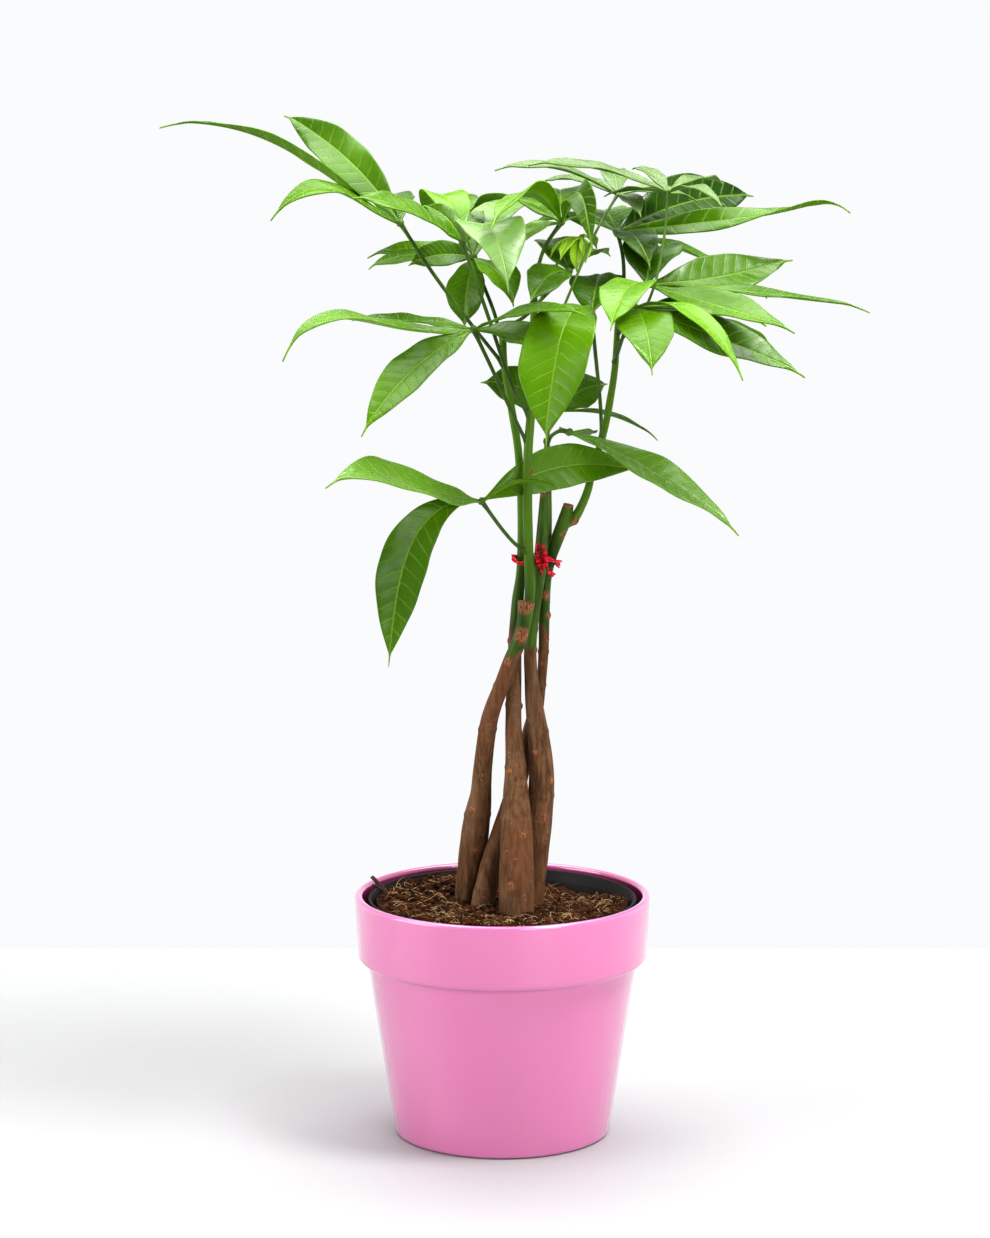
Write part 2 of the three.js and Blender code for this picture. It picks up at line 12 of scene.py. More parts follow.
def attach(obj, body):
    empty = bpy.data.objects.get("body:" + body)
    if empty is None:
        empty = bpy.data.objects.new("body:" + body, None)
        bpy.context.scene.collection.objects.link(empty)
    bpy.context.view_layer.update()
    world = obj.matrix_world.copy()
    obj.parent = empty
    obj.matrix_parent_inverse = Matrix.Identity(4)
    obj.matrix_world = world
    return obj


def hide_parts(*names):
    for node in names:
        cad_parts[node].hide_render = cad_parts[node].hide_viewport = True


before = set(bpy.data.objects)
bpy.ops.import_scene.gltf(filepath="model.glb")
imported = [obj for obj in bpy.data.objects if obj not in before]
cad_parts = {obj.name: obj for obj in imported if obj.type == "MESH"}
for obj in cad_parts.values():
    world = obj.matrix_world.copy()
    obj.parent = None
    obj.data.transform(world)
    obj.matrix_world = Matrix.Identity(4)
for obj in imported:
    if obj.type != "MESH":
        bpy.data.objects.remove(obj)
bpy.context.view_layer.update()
MM = 0.001
rng = np.random.default_rng(7)


def add_object(name, data):
    thing = bpy.data.objects.new(name, data)
    bpy.context.scene.collection.objects.link(thing)
    return thing


# Camera, floor and light, in metres

CAMERA_PLACE = (-0.0036, -1.676, 0.508)
CAMERA_PITCH = 0.150  # radians below the horizontal
FOCAL_PIXELS = 3500.0  # over an image 1238 pixels tall
IMAGE_HEIGHT = 1238
SENSOR = 36.0
CLIP_END = 50


def add_camera():
    camera = bpy.data.cameras.new("camera")
    camera.sensor_fit = "VERTICAL"
    camera.sensor_height = SENSOR
    camera.lens = FOCAL_PIXELS / IMAGE_HEIGHT * SENSOR
    camera.clip_end = CLIP_END
    viewer = add_object("camera", camera)
    viewer.location = CAMERA_PLACE
    viewer.rotation_euler = (math.pi / 2 - CAMERA_PITCH, 0, 0)
    bpy.context.scene.camera = viewer


def add_softbox(name, place, target, size, power):
    light = bpy.data.lights.new(name, "AREA")
    light.shape = "RECTANGLE"
    light.size, light.size_y = size
    light.energy = power
    lamp = add_object(name, light)
    lamp.location = place
    aim = Vector(target) - Vector(place)
    lamp.rotation_euler = aim.to_track_quat("-Z", "Y").to_euler()


FLOOR_REACH = 1.3
FLOOR_BACK = 0.367  # where the floor meets the pale wall
FLOOR_COLOUR = (0.41, 0.412, 0.415)
WALL_COLOUR = (0.985, 0.99, 1.0, 1)
WALL_LIGHT = 0.98  # of the wall behind
SIDE_LIGHT = 1.5
FRONT_LIGHT = 0.4
ROOM_LIGHT = 0.22  # of the darker room above the wall
# Where the light changes with the direction's Y, its X to either side, and its Z
FRONT_BAND, SIDE_BAND, HIGH_BAND = (-0.7, -0.2), (0.5, 0.85), (0.16, 0.5)
GAMMA = 0.85
SOFTBOXES = (  # name, place, target, size and watts
    ("key", (0.85, -0.45, 1.9), (0, 0, 0.25), (0.6, 0.6), 36),
    ("top", (0, 0.35, 1.9), (0, 0, 0.3), (2.0, 1.8), 72),
    ("fill", (1.1, -1.9, 0.9), (0, 0, 0.25), (1.2, 1.2), 25),
    ("left", (-1.9, -0.6, 0.8), (0, 0, 0.1), (1.4, 1.2), 26),
)


def add_studio():
    """A pale wall all round at eye level, and a darker room above it."""
    world = bpy.data.worlds.new("studio")
    world.use_nodes = True
    nodes = Nodes(world.node_tree)
    split = nodes.add("ShaderNodeSeparateXYZ", Vector=nodes.add("ShaderNodeTexCoord").outputs["Generated"])
    front = nodes.ramp(split.outputs["Y"], *FRONT_BAND, FRONT_LIGHT, WALL_LIGHT)
    walls = nodes.ramp(nodes.maths("ABSOLUTE", split.outputs["X"]), *SIDE_BAND, front, SIDE_LIGHT)
    background = nodes.tree.nodes["Background"]
    background.inputs["Color"].default_value = WALL_COLOUR
    nodes.put(nodes.ramp(split.outputs["Z"], *HIGH_BAND, walls, ROOM_LIGHT), background.inputs["Strength"])
    bpy.context.scene.world = world


def add_surroundings():
    add_studio()
    view = bpy.context.scene.view_settings
    view.view_transform = "Standard"
    view.gamma = GAMMA
    for softbox in SOFTBOXES:
        add_softbox(*softbox)
    mesh = bpy.data.meshes.new("floor")
    reach, back = FLOOR_REACH, FLOOR_BACK
    corners = [(-reach, -reach, 0), (reach, -reach, 0), (reach, back, 0), (-reach, back, 0)]
    mesh.from_pydata(corners, [], [(0, 1, 2, 3)])
    mesh.materials.append(floor_material())
    floor = add_object("floor", mesh)


# Materials


class Nodes:
    """A node tree, with short ways to add what the plant needs."""

    def __init__(self, tree):
        self.tree = tree

    def add(self, kind, settings=None, **values):
        node = self.tree.nodes.new(kind)
        for key, value in (settings or {}).items():
            setattr(node, key, value)
        for key, value in values.items():
            self.put(value, node.inputs[key.replace("_", " ")])
        return node

    def put(self, value, socket):
        if isinstance(value, bpy.types.NodeSocket):
            self.tree.links.new(value, socket)
        else:
            socket.default_value = value

    def maths(self, operation, *values):
        node = self.tree.nodes.new("ShaderNodeMath")
        node.operation = operation
        for value, socket in zip(values, node.inputs):
            self.put(value, socket)
        return node.outputs[0]

    def times(self, first, second):
        return self.maths("MULTIPLY", first, second)

    def plus(self, first, second):
        return self.maths("ADD", first, second)

    def swing(self, value, reach):
        """A value from 0 to 1 as one round 0."""
        return self.times(self.maths("SUBTRACT", value, 0.5), reach)

    def ramp(self, value, low, high, bottom=0.0, top=1.0, smooth=True):
        node = self.tree.nodes.new("ShaderNodeMapRange")
        node.interpolation_type = "SMOOTHSTEP" if smooth else "LINEAR"
        for socket, given in zip(node.inputs, (value, low, high, bottom, top)):
            self.put(given, socket)
        return node.outputs[0]

    def mix(self, share, first, second):
        node = self.tree.nodes.new("ShaderNodeMix")
        node.data_type = "RGBA"
        self.put(share, node.inputs["Factor"])
        self.put(colour(first), node.inputs[6])
        self.put(colour(second), node.inputs[7])
        return node.outputs[2]

    def stretched(self, stretch):
        place = self.add("ShaderNodeTexCoord").outputs["Object"]
        return self.add("ShaderNodeMapping", Vector=place, Scale=stretch).outputs[0]

    def noise(self, scale, stretch=(1, 1, 1), detail=3.0, roughness=0.55):
        return self.add("ShaderNodeTexNoise", Vector=self.stretched(stretch), Scale=scale, Detail=detail,
                        Roughness=roughness).outputs[0]

    def cells(self, scale, feature="DISTANCE_TO_EDGE", stretch=(1, 1, 1)):
        return self.add("ShaderNodeTexVoronoi", {"feature": feature}, Vector=self.stretched(stretch),
                        Scale=scale).outputs[0]

    def attribute(self, name):
        return self.add("ShaderNodeAttribute", {"attribute_name": name}).outputs["Fac"]


class Material(Nodes):
    """A material's node tree, round its one shader."""

    def __init__(self, name):
        self.material = bpy.data.materials.new(name)
        self.material.use_nodes = True
        super().__init__(self.material.node_tree)
        self.shader = self.tree.nodes["Principled BSDF"]

    def bump(self, height, strength, distance):
        node = self.add("ShaderNodeBump", Strength=strength, Distance=distance, Height=height)
        self.put(node.outputs[0], self.shader.inputs["Normal"])

    def finish(self, **values):
        for key, value in values.items():
            self.put(value, self.shader.inputs[key.replace("_", " ")])
        return self.material


def colour(value):
    return (*value, 1) if isinstance(value, tuple) else value


def srgb(*seen):
    """A colour as it is seen, from 0 to 255, as the linear values that a shader takes."""
    return tuple(((v / 255 + 0.055) / 1.055) ** 2.4 if v > 10 else v / 255 / 12.92 for v in seen)


def floor_material():
    nodes = Material("floor")
    body = nodes.mix(nodes.noise(3.0), FLOOR_COLOUR, tuple(0.985 * v for v in FLOOR_COLOUR))
    return nodes.finish(Base_Color=body, Roughness=0.5)


# A leaf reads its map: U is the distance from the midrib, 80 mm for the whole
# width, and V counts the side veins, 40 for the whole height. Its tone says
# how pale this leaflet is: 0 for dark, 1 for pale and 2 for the palest. The
# tone is partly the leaflet's own green and partly painted light and shade,
# and above 1 it mixes in painted light: sheen on mature leaves, light shining
# through the sprouts.
MAP_WIDTH = 80.0
MAP_VEINS = 40.0
VEIN_SHARE = 0.5  # of a vein's own colour
SIDE_VEIN = 0.48  # how strong a side vein is beside the midrib
SIDE_EDGE = (0.02, 0.085)  # where a side vein fades out, as shares of their spacing
MIDRIB_EDGE = (0.22, 0.6)  # where the midrib does, in millimetres
# The unfolding leaflets' own pale green, brightened with painted light that stands in for light shining
# through them
SPROUT_LIT_THROUGH = (0.4, 0.66, 0.03)  # of leaves that are just unfolding
# Painted sheen: a greyed green that stands in for bright light reflected off the palest mature leaflets
PAINTED_SHEEN = (0.19, 0.28, 0.13)  # of the palest mature leaves
# Each side of a blade: its dark, pale, palest and vein colours, its roughness
# and gloss, and how far its veins stand out. The palest colour is painted
# light: sheen on mature leaves, light shining through the sprouts.
BLADE_SIDES = {
    "leaf_top": ((0.013, 0.052, 0.0005), (0.12, 0.275, 0.001), PAINTED_SHEEN, (0.24, 0.42, 0.03), 0.29, 0.28, -1.0),
    "leaf_under": ((0.035, 0.105, 0.001), (0.145, 0.31, 0.002), PAINTED_SHEEN, (0.28, 0.45, 0.05), 0.5, 0.12, 1.0),
    "young_top": ((0.055, 0.12, 0.016), (0.13, 0.21, 0.055), SPROUT_LIT_THROUGH, (0.23, 0.33, 0.11), 0.34, 0.4, -0.8),
    "young_under": ((0.08, 0.16, 0.016), (0.16, 0.27, 0.06), SPROUT_LIT_THROUGH, (0.28, 0.4, 0.12), 0.5, 0.2, 0.8),
}


def leaf_material(name):
    dark, pale, palest_painted_light, vein, roughness, gloss, relief = BLADE_SIDES[name]
    nodes = Material(name)
    leaf_map = nodes.add("ShaderNodeUVMap", {"uv_map": "veins"}).outputs[0]
    split = nodes.add("ShaderNodeSeparateXYZ", Vector=leaf_map)
    out = nodes.maths("ABSOLUTE", nodes.swing(split.outputs[0], MAP_WIDTH))
    count = nodes.plus(nodes.times(split.outputs[1], MAP_VEINS), nodes.swing(nodes.noise(160), 0.35))
    near = nodes.maths("FRACT", nodes.plus(count, 0.5))
    near = nodes.maths("ABSOLUTE", nodes.maths("SUBTRACT", near, 0.5))
    side = nodes.ramp(near, *SIDE_EDGE, 1.0, 0.0)
    side = nodes.times(side, nodes.ramp(out, 3.0, 13.0, 1.0, 0.4))
    midrib = nodes.ramp(out, *MIDRIB_EDGE, 1.0, 0.0)
    veins = nodes.maths("MAXIMUM", midrib, nodes.times(side, SIDE_VEIN))
    tone = nodes.plus(nodes.attribute("tone"), nodes.swing(nodes.noise(38, detail=4), 0.55))
    # Partly painted light and shade: besides each leaflet's own green, the tone darkens or pales a leaflet
    # for the light it is seen in, and above 1 it mixes in the palest painted light.
    body = nodes.mix(nodes.ramp(tone, 0.0, 1.0, smooth=False), dark, pale)
    body = nodes.mix(nodes.ramp(tone, 1.0, 2.0), body, palest_painted_light)
    skin = nodes.mix(nodes.times(veins, VEIN_SHARE), body, vein)
    height = nodes.plus(nodes.times(veins, relief), nodes.times(nodes.noise(300, detail=1), 0.06))
    nodes.bump(height, 0.8, 0.0003)
    shine = nodes.ramp(nodes.noise(140), 0.3, 0.7, roughness - 0.05, roughness + 0.07)
    return nodes.finish(Base_Color=skin, Roughness=shine, Specular_IOR_Level=gloss, Subsurface_Weight=0.3,
                        Subsurface_Radius=(0.35, 0.7, 0.12), Subsurface_Scale=0.0015)


def stalk_material():
    nodes = Material("stalk")
    streak = nodes.noise(260, (1, 1, 0.15))
    body = nodes.mix(nodes.ramp(streak, 0.3, 0.7), (0.018, 0.05, 0.003), (0.06, 0.13, 0.01))
    body = nodes.mix(nodes.attribute("tone"), body, (0.16, 0.29, 0.05))
    nodes.bump(streak, 0.3, 0.0003)
    return nodes.finish(Base_Color=body, Roughness=0.42, Specular_IOR_Level=0.2)


def bark_material():
    """Brown bark below, smooth green stem above, with scars where buds and leaves were."""
    nodes = Material("bark")
    grain = nodes.noise(520, (1, 1, 0.16), 5, 0.65)
    fine = nodes.noise(1500, (1, 1, 0.35), 3, 0.6)
    patch = nodes.noise(42, (1, 1, 0.55), 3, 0.5)
    brown = nodes.mix(nodes.ramp(grain, 0.3, 0.72), srgb(78, 53, 33), srgb(128, 93, 63))
    brown = nodes.mix(nodes.ramp(patch, 0.42, 0.66, 0, 0.6), brown, srgb(112, 70, 44))
    grey = nodes.times(nodes.ramp(nodes.noise(90, (1, 1, 0.3)), 0.5, 0.7), 0.35)
    brown = nodes.mix(grey, brown, srgb(132, 108, 84))
    pore = nodes.ramp(nodes.cells(140, "F1", (1, 1, 2.4)), 0.05, 0.16, 0.4, 0.0)
    brown = nodes.mix(pore, brown, srgb(178, 136, 98))
    crack = nodes.ramp(nodes.cells(330, stretch=(1, 1, 0.18)), 0.0, 0.05, 0.22, 0.0)
    brown = nodes.mix(crack, brown, srgb(56, 34, 22))
    streak = nodes.ramp(nodes.noise(120, (1, 1, 0.2)), 0.35, 0.7)
    green = nodes.mix(streak, (0.02, 0.052, 0.003), (0.07, 0.145, 0.01))
    green = nodes.mix(nodes.attribute("young"), green, (0.095, 0.2, 0.01))
    body = nodes.mix(nodes.attribute("green"), brown, green)
    scar = nodes.mix(nodes.ramp(fine, 0.35, 0.65), srgb(92, 54, 34), srgb(164, 112, 72))
    body = nodes.mix(nodes.attribute("scar"), body, scar)
    rough = nodes.maths("SUBTRACT", 1.0, nodes.attribute("green"))
    height = nodes.plus(nodes.times(grain, 0.7), nodes.times(fine, 0.3))
    height = nodes.times(height, nodes.ramp(rough, 0, 1, 0.25, 1.0))
    nodes.bump(height, 0.6, 0.0005)
    dull = nodes.ramp(rough, 0, 1, 0.4, 0.72)
    return nodes.finish(Base_Color=body, Roughness=dull, Specular_IOR_Level=0.18)


def cut_material():
    nodes = Material("cut_wood")
    grain = nodes.noise(700, (1, 1, 1), 4)
    body = nodes.mix(nodes.ramp(grain, 0.3, 0.7), srgb(96, 62, 40), srgb(168, 126, 88))
    nodes.bump(grain, 0.6, 0.0006)
    return nodes.finish(Base_Color=body, Roughness=0.85)


def glaze_material():
    nodes = Material("glaze")
    cloud = nodes.noise(14, detail=3)
    body = nodes.mix(cloud, (0.62, 0.185, 0.385), (0.64, 0.2, 0.4))
    # Painted shade: the glaze turns darker just below the rim's top on the inner wall, where it lies in
    # shade
    body = nodes.mix(nodes.attribute("inside"), body, (0.36, 0.045, 0.15))
    speck = nodes.ramp(nodes.cells(150, "F1"), 0.0, 0.05, 0.22, 0.0)
    body = nodes.mix(speck, body, (0.52, 0.08, 0.24))
    nodes.bump(nodes.noise(26, detail=2), 0.05, 0.002)
    return nodes.finish(Base_Color=body, Roughness=0.14, Coat_Weight=1.0, Coat_Roughness=0.04)


def plastic_material():
    nodes = Material("black_plastic")
    body = nodes.mix(nodes.noise(60), (0.008, 0.0075, 0.0075), (0.018, 0.0165, 0.0165))
    dust = nodes.ramp(nodes.noise(900, detail=4), 0.62, 0.72, 0.0, 0.2)
    body = nodes.mix(dust, body, srgb(120, 96, 72))
    nodes.bump(nodes.noise(1200), 0.25, 0.0002)
    return nodes.finish(Base_Color=body, Roughness=0.5, Specular_IOR_Level=0.15)


def soil_material():
    nodes = Material("soil")
    lump = nodes.noise(240, detail=6, roughness=0.7)
    body = nodes.mix(nodes.ramp(lump, 0.36, 0.66), srgb(20, 10, 5), srgb(78, 46, 27))
    body = nodes.mix(nodes.ramp(nodes.noise(70, detail=3), 0.5, 0.72, 0, 0.6), body, srgb(96, 50, 26))
    body = nodes.mix(nodes.attribute("tone"), body, srgb(100, 57, 30))
    nodes.bump(nodes.noise(1100, detail=5, roughness=0.7), 1.0, 0.0012)
    return nodes.finish(Base_Color=body, Roughness=0.92, Specular_IOR_Level=0.1)


def fibre_material():
    nodes = Material("coir")
    body = nodes.mix(nodes.attribute("tone"), srgb(104, 62, 32), srgb(238, 212, 150))
    body = nodes.mix(nodes.ramp(nodes.noise(500), 0.4, 0.7, 0, 0.5), body, srgb(150, 112, 66))
    return nodes.finish(Base_Color=body, Roughness=0.7)


def foil_material():
    nodes = Material("foil")
    crease = nodes.cells(420, "F1")
    body = nodes.mix(nodes.noise(300), (0.62, 0.006, 0.025), (0.86, 0.03, 0.07))
    nodes.bump(crease, 0.7, 0.0008)
    return nodes.finish(Base_Color=body, Roughness=0.26, Metallic=0.55)


def twig_material():
    nodes = Material("dry_twig")
    grain = nodes.noise(500, (0.3, 1, 1), 5)
    body = nodes.mix(nodes.ramp(grain, 0.3, 0.7), srgb(26, 14, 14), srgb(84, 58, 52))
    nodes.bump(grain, 0.8, 0.0005)
    return nodes.finish(Base_Color=body, Roughness=0.8)


# Meshes


def add_piece(name, points, faces, materials, node, spread=None, face_slots=None, values=None):
    """A mesh from points in millimetres. The values are numbers per point, for the materials to read."""
    mesh = bpy.data.meshes.new(name)
    mesh.from_pydata((np.asarray(points) * MM).tolist(), [], [tuple(face) for face in faces])
    for material in materials:
        mesh.materials.append(material)
    if face_slots is not None:
        mesh.polygons.foreach_set("material_index", np.asarray(face_slots, dtype=np.int32))
    mesh.polygons.foreach_set("use_smooth", np.ones(len(mesh.polygons), dtype=bool))
    if spread is not None:
        corners = np.empty(len(mesh.loops), dtype=np.int32)
        mesh.loops.foreach_get("vertex_index", corners)
        layer = mesh.uv_layers.new(name="veins")
        layer.data.foreach_set("uv", np.asarray(spread, dtype=np.float32)[corners].ravel())
    for key, numbers in (values or {}).items():
        layer = mesh.attributes.new(key, "FLOAT", "POINT")
        layer.data.foreach_set("value", np.asarray(numbers, dtype=np.float32))
    mesh.update()
    piece = add_object(name, mesh)
    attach(piece, "root")
    if node:
        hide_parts(node)
    return piece


class Heap:
    """Meshes gathered into one piece."""

    def __init__(self):
        self.points, self.faces, self.face_slots, self.spread, self.values = [], [], [], [], {}
        self.count = 0

    def put(self, points, faces, slot=0, spread=None, **values):
        points = np.asarray(points).reshape(-1, 3)
        self.points.append(points)
        self.faces.extend([tuple(int(i) + self.count for i in face) for face in faces])
        self.face_slots.extend([slot] * len(faces) if np.isscalar(slot) else list(slot))
        self.spread.append(np.zeros((len(points), 2)) if spread is None else spread)
        for key, numbers in values.items():
            self.values.setdefault(key, []).append(np.broadcast_to(numbers, (len(points),)))
        self.count += len(points)

    def piece(self, name, materials, node, slot):
        values = {key: np.concatenate(parts) for key, parts in self.values.items()}
        return add_piece(name, np.concatenate(self.points), self.faces, materials, node,
                         np.concatenate(self.spread), self.face_slots, values)


def band_faces(rings, sides, first=0):
    """Faces between rings of points, the first of which starts at the point numbered first."""
    faces = []
    for k in range(rings - 1):
        for i in range(sides):
            a, b = first + k * sides + i, first + k * sides + (i + 1) % sides
            faces.append((a, b, b + sides, a + sides))
    return faces


def capped_faces(rings, sides):
    """Faces over rings of points that lie between one end point and another."""
    faces = [(0, 1 + (i + 1) % sides, 1 + i) for i in range(sides)]
    faces += band_faces(rings, sides, 1)
    last = 1 + (rings - 1) * sides
    return faces + [(last + i, last + (i + 1) % sides, last + sides) for i in range(sides)]


def tube_faces(rings, sides):
    """Faces over rings of points, closed at both ends."""
    faces = band_faces(rings, sides)
    faces.append(tuple(range(sides - 1, -1, -1)))
    faces.append(tuple(range((rings - 1) * sides, rings * sides)))
    return faces


def unit(vectors):
    return vectors / np.linalg.norm(vectors, axis=1, keepdims=True)


def smooth_path(rows, step):
    """A centripetal spline through rows of numbers, the first three of which are a place."""
    rows = np.asarray(rows, dtype=float)
    ends = np.vstack([2 * rows[0] - rows[1], rows, 2 * rows[-1] - rows[-2]])
    parts = []
    for k in range(len(rows) - 1):
        p0, p1, p2, p3 = ends[k:k + 4]
        d0, d1, d2 = [max(1e-4, np.linalg.norm(b[:3] - a[:3])) ** 0.5
                      for a, b in ((p0, p1), (p1, p2), (p2, p3))]
        t1 = ((p1 - p0) / d0 - (p2 - p0) / (d0 + d1) + (p2 - p1) / d1) * d1
        t2 = ((p2 - p1) / d1 - (p3 - p1) / (d1 + d2) + (p3 - p2) / d2) * d1
        count = max(2, round(float(np.linalg.norm(p2[:3] - p1[:3])) / step))
        last = k == len(rows) - 2
        t = np.linspace(0, 1, count + 1)[: None if last else -1, None]
        parts.append(p1 * (2 * t**3 - 3 * t**2 + 1) + t1 * (t**3 - 2 * t**2 + t)
                     + p2 * (3 * t**2 - 2 * t**3) + t2 * (t**3 - t**2))
    return np.vstack(parts)


def rings_round(path, sides):
    """Rings of unit directions round a path, carried along it without twist."""
    side = np.array([1.0, 0.0, 0.0])
    turn = 2 * np.pi * np.arange(sides) / sides
    rings = []
    for tangent in unit(np.gradient(path[:, :3], axis=0)):
        side = side - tangent * side.dot(tangent)
        side /= np.linalg.norm(side)
        other = np.cross(tangent, side)
        rings.append(np.cos(turn)[:, None] * side + np.sin(turn)[:, None] * other)
    return np.array(rings)


def tube(heap, path, radius, sides, slot=0, **values):
    """A round tube along a path, with one radius or one for each point."""
    skin = path[:, None, :] + rings_round(path, sides) * np.reshape(radius, (-1, 1, 1))
    heap.put(skin, tube_faces(len(path), sides), slot, **values)


# Trunks

# Rows of [x, y, z, radius]: a stem from down in the soil to its top, then its shoots
TRUNKS = {
    "trunk_left": [
        [[-22, 12, 66, 2.5], [-20, 10, 92, 5], [-18.2, 9, 110, 5.2], [-16.4, 8, 128, 5.9],
         [-13.6, 7, 146, 6.8], [-12, 6, 157, 6.4], [-10.5, 5, 168, 5.2], [-9.4, 2, 182, 4.5],
         [-7.2, -2.5, 201, 4.3], [-4.6, -6, 212, 4], [-0.2, -8.5, 224, 3.7], [3.2, -9.5, 234, 3.5],
         [7.5, -9.5, 244, 3.6], [10.3, -9, 254, 3.5], [11.6, -8.5, 264.5, 4.2]],
        [[11.6, -8.5, 258, 2], [13.2, -8.4, 268, 2.6], [12.5, -10, 290, 2.3], [11.9, -13.5, 314, 2.3],
         [12.2, -14, 338, 2.2], [13.6, -10.5, 356, 2.1], [14.5, -7, 385, 1.9], [15, -5, 409, 1.5]],
    ],
    "trunk_front": [
        [[9, -20, 62, 3], [8, -19, 90, 7], [7, -18.5, 110, 8.6], [6.8, -17, 128, 8.5],
         [6.8, -14.5, 144, 8.1], [6.6, -11.5, 159, 7.3], [6.6, -9, 170, 6.3], [6.3, -6.5, 183, 5],
         [5.5, -4, 201, 4], [5.4, -2, 213, 3.8], [5.8, -0.5, 228, 3.4], [6.1, 0.5, 244, 3.2],
         [7.5, 1, 264, 2.9], [8.8, 1, 276, 2.3], [9, 2, 290, 1.8], [8.8, 2.5, 317, 1.8],
         [7.5, 3, 337, 1.9], [4.1, 4, 358, 1.8], [0.8, 5, 378, 1.7], [0.2, 5, 397, 1.5]],
    ],
    "trunk_right": [
        [[11, 4, 64, 2.5], [12.5, 2, 92, 5], [14, 0.5, 112, 5.8], [15.4, 0, 130, 6.2],
         [17.4, -1, 150, 6.4], [18.9, -1.5, 168, 6.3], [19, -2, 183, 5.8], [17.2, -2, 200, 5],
         [15.4, -2, 213, 4.3], [14, -2, 227, 3.3], [13.5, -2, 239, 3], [14.4, -1, 250, 2.7],
         [16.4, -1, 266, 2.8], [18.1, -1, 281, 3.2], [19.6, 0, 300, 2.9], [20.2, 0.5, 316, 2.1]],
    ],
    "trunk_back": [
        [[-16, -6, 66, 2.5], [-13, -4, 90, 5], [-9.7, -2.5, 113, 5.8], [-7.4, -0.5, 124, 5.6],
         [-4.5, 1.5, 136, 5.2], [0.4, 4, 150, 5], [5.2, 6.5, 165, 4.8], [9.6, 8, 181, 4.5],
         [13.5, 9, 196, 4.1], [16.8, 9, 210, 3.3], [18.8, 7.5, 221, 2.4], [20, 4.5, 238, 2.4],
         [20.4, 4.5, 262, 2.7], [21.2, 4.5, 275, 2.8], [23.2, 3.5, 284, 2.9], [27, 2, 295, 3.2],
         [30.7, 2, 305, 3.1], [32, 2, 310.5, 2.4]],
        [[30, 2, 300, 2], [34.6, 2.5, 303.5, 2.4], [38, 4, 309, 2.1], [41.4, 7, 317, 1.9],
         [43.8, 10, 328, 1.8], [48.4, 10, 342, 1.7], [51.7, 8, 359, 1.7], [54, 5, 376, 1.6],
         [55.2, 2, 400, 1.4]],
        [[21, 4.6, 272, 1.8], [21.8, 5.6, 284, 1.7], [22.4, 6, 304, 1.6], [21.6, 6, 336, 1.3],
         [21, 6, 342, 1.1]],
    ],
}
# The height where each trunk turns from brown to green, and how far that takes
GREEN_FROM = {"trunk_left": (238, 3), "trunk_front": (252, 6),
              "trunk_right": (240.5, 2), "trunk_back": (250, 4)}
ROUGH_BELOW, SMOOTH_ABOVE = 120, 235  # heights of the bark
PALER = (262, 300)  # heights over which a shoot turns paler
TRUNK_SIDES, SHOOT_SIDES = 44, 24
# Scars and pruned buds: [x, y, z, radius, how far it stands out]
SCARS = {
    "trunk_left": [[-15.2, 0.4, 160, 2.2, 0.9], [-10, -0.4, 178, 1.8, 0.7], [9.6, -12.8, 248.5, 4.2, 0.3],
                   [2.4, -13, 236, 2.2, 0.3], [10.6, -12.2, 262, 3.6, 0.8], [13.4, -12.6, 263, 2.6, 0.7],
                   [-13, 0.6, 140, 1.6, 0.4], [-6.4, -6.6, 204, 1.6, 0.4], [13.8, -15.4, 328, 1.3, 0.5]],
    "trunk_front": [[3.4, -10.6, 182, 2, 0.8], [9.4, -11.6, 176, 1.8, 0.6], [3, 1, 244, 1.6, 0.6],
                    [9.6, -1.6, 212, 1.6, 0.7], [5, -17.6, 170, 2, 0.3], [9.8, -19.4, 152, 1.8, 0.3],
                    [4.2, -24.4, 128, 2.4, 0.2]],
    "trunk_right": [[23.8, -5.4, 176, 2.2, 0.8], [15.2, -7.6, 190, 2, 0.7], [16.8, -2.6, 240, 1.6, 0.6],
                    [20, -7.4, 158, 2.8, 0.3], [22, -6.8, 146, 2, 0.3], [12.4, -5, 206, 1.6, 0.5]],
    "trunk_back": [[22.4, 3, 256, 2, 0.9], [20.8, 2, 266, 2.4, 0.9], [35.2, 0.8, 302, 2.4, 0.9],
                   [22.4, 2.4, 244, 1.6, 0.5], [18, 2.6, 232, 1.8, 0.5], [29.4, -0.6, 296, 1.8, 0.4]],
}
# Heights of the rings where leaves once grew
RINGS = {"trunk_left": (157, 201, 224), "trunk_front": (159, 183, 213),
         "trunk_right": (168, 200, 250), "trunk_back": (181, 221, 238)}
RING_RISE, RING_REACH = 0.32, 1.1


def fade(value, low, high):
    t = np.clip((value - low) / (high - low), 0, 1)
    return t * t * (3 - 2 * t)


def wobble(points, scale, seed):
    """Smooth noise at points in millimetres, from about -1 to 1."""
    shift = Vector((seed * 7.3, seed * 3.1, seed * 5.7))
    scale = Vector(scale)
    return np.array([noise.noise(Vector(point) * scale + shift) for point in points])


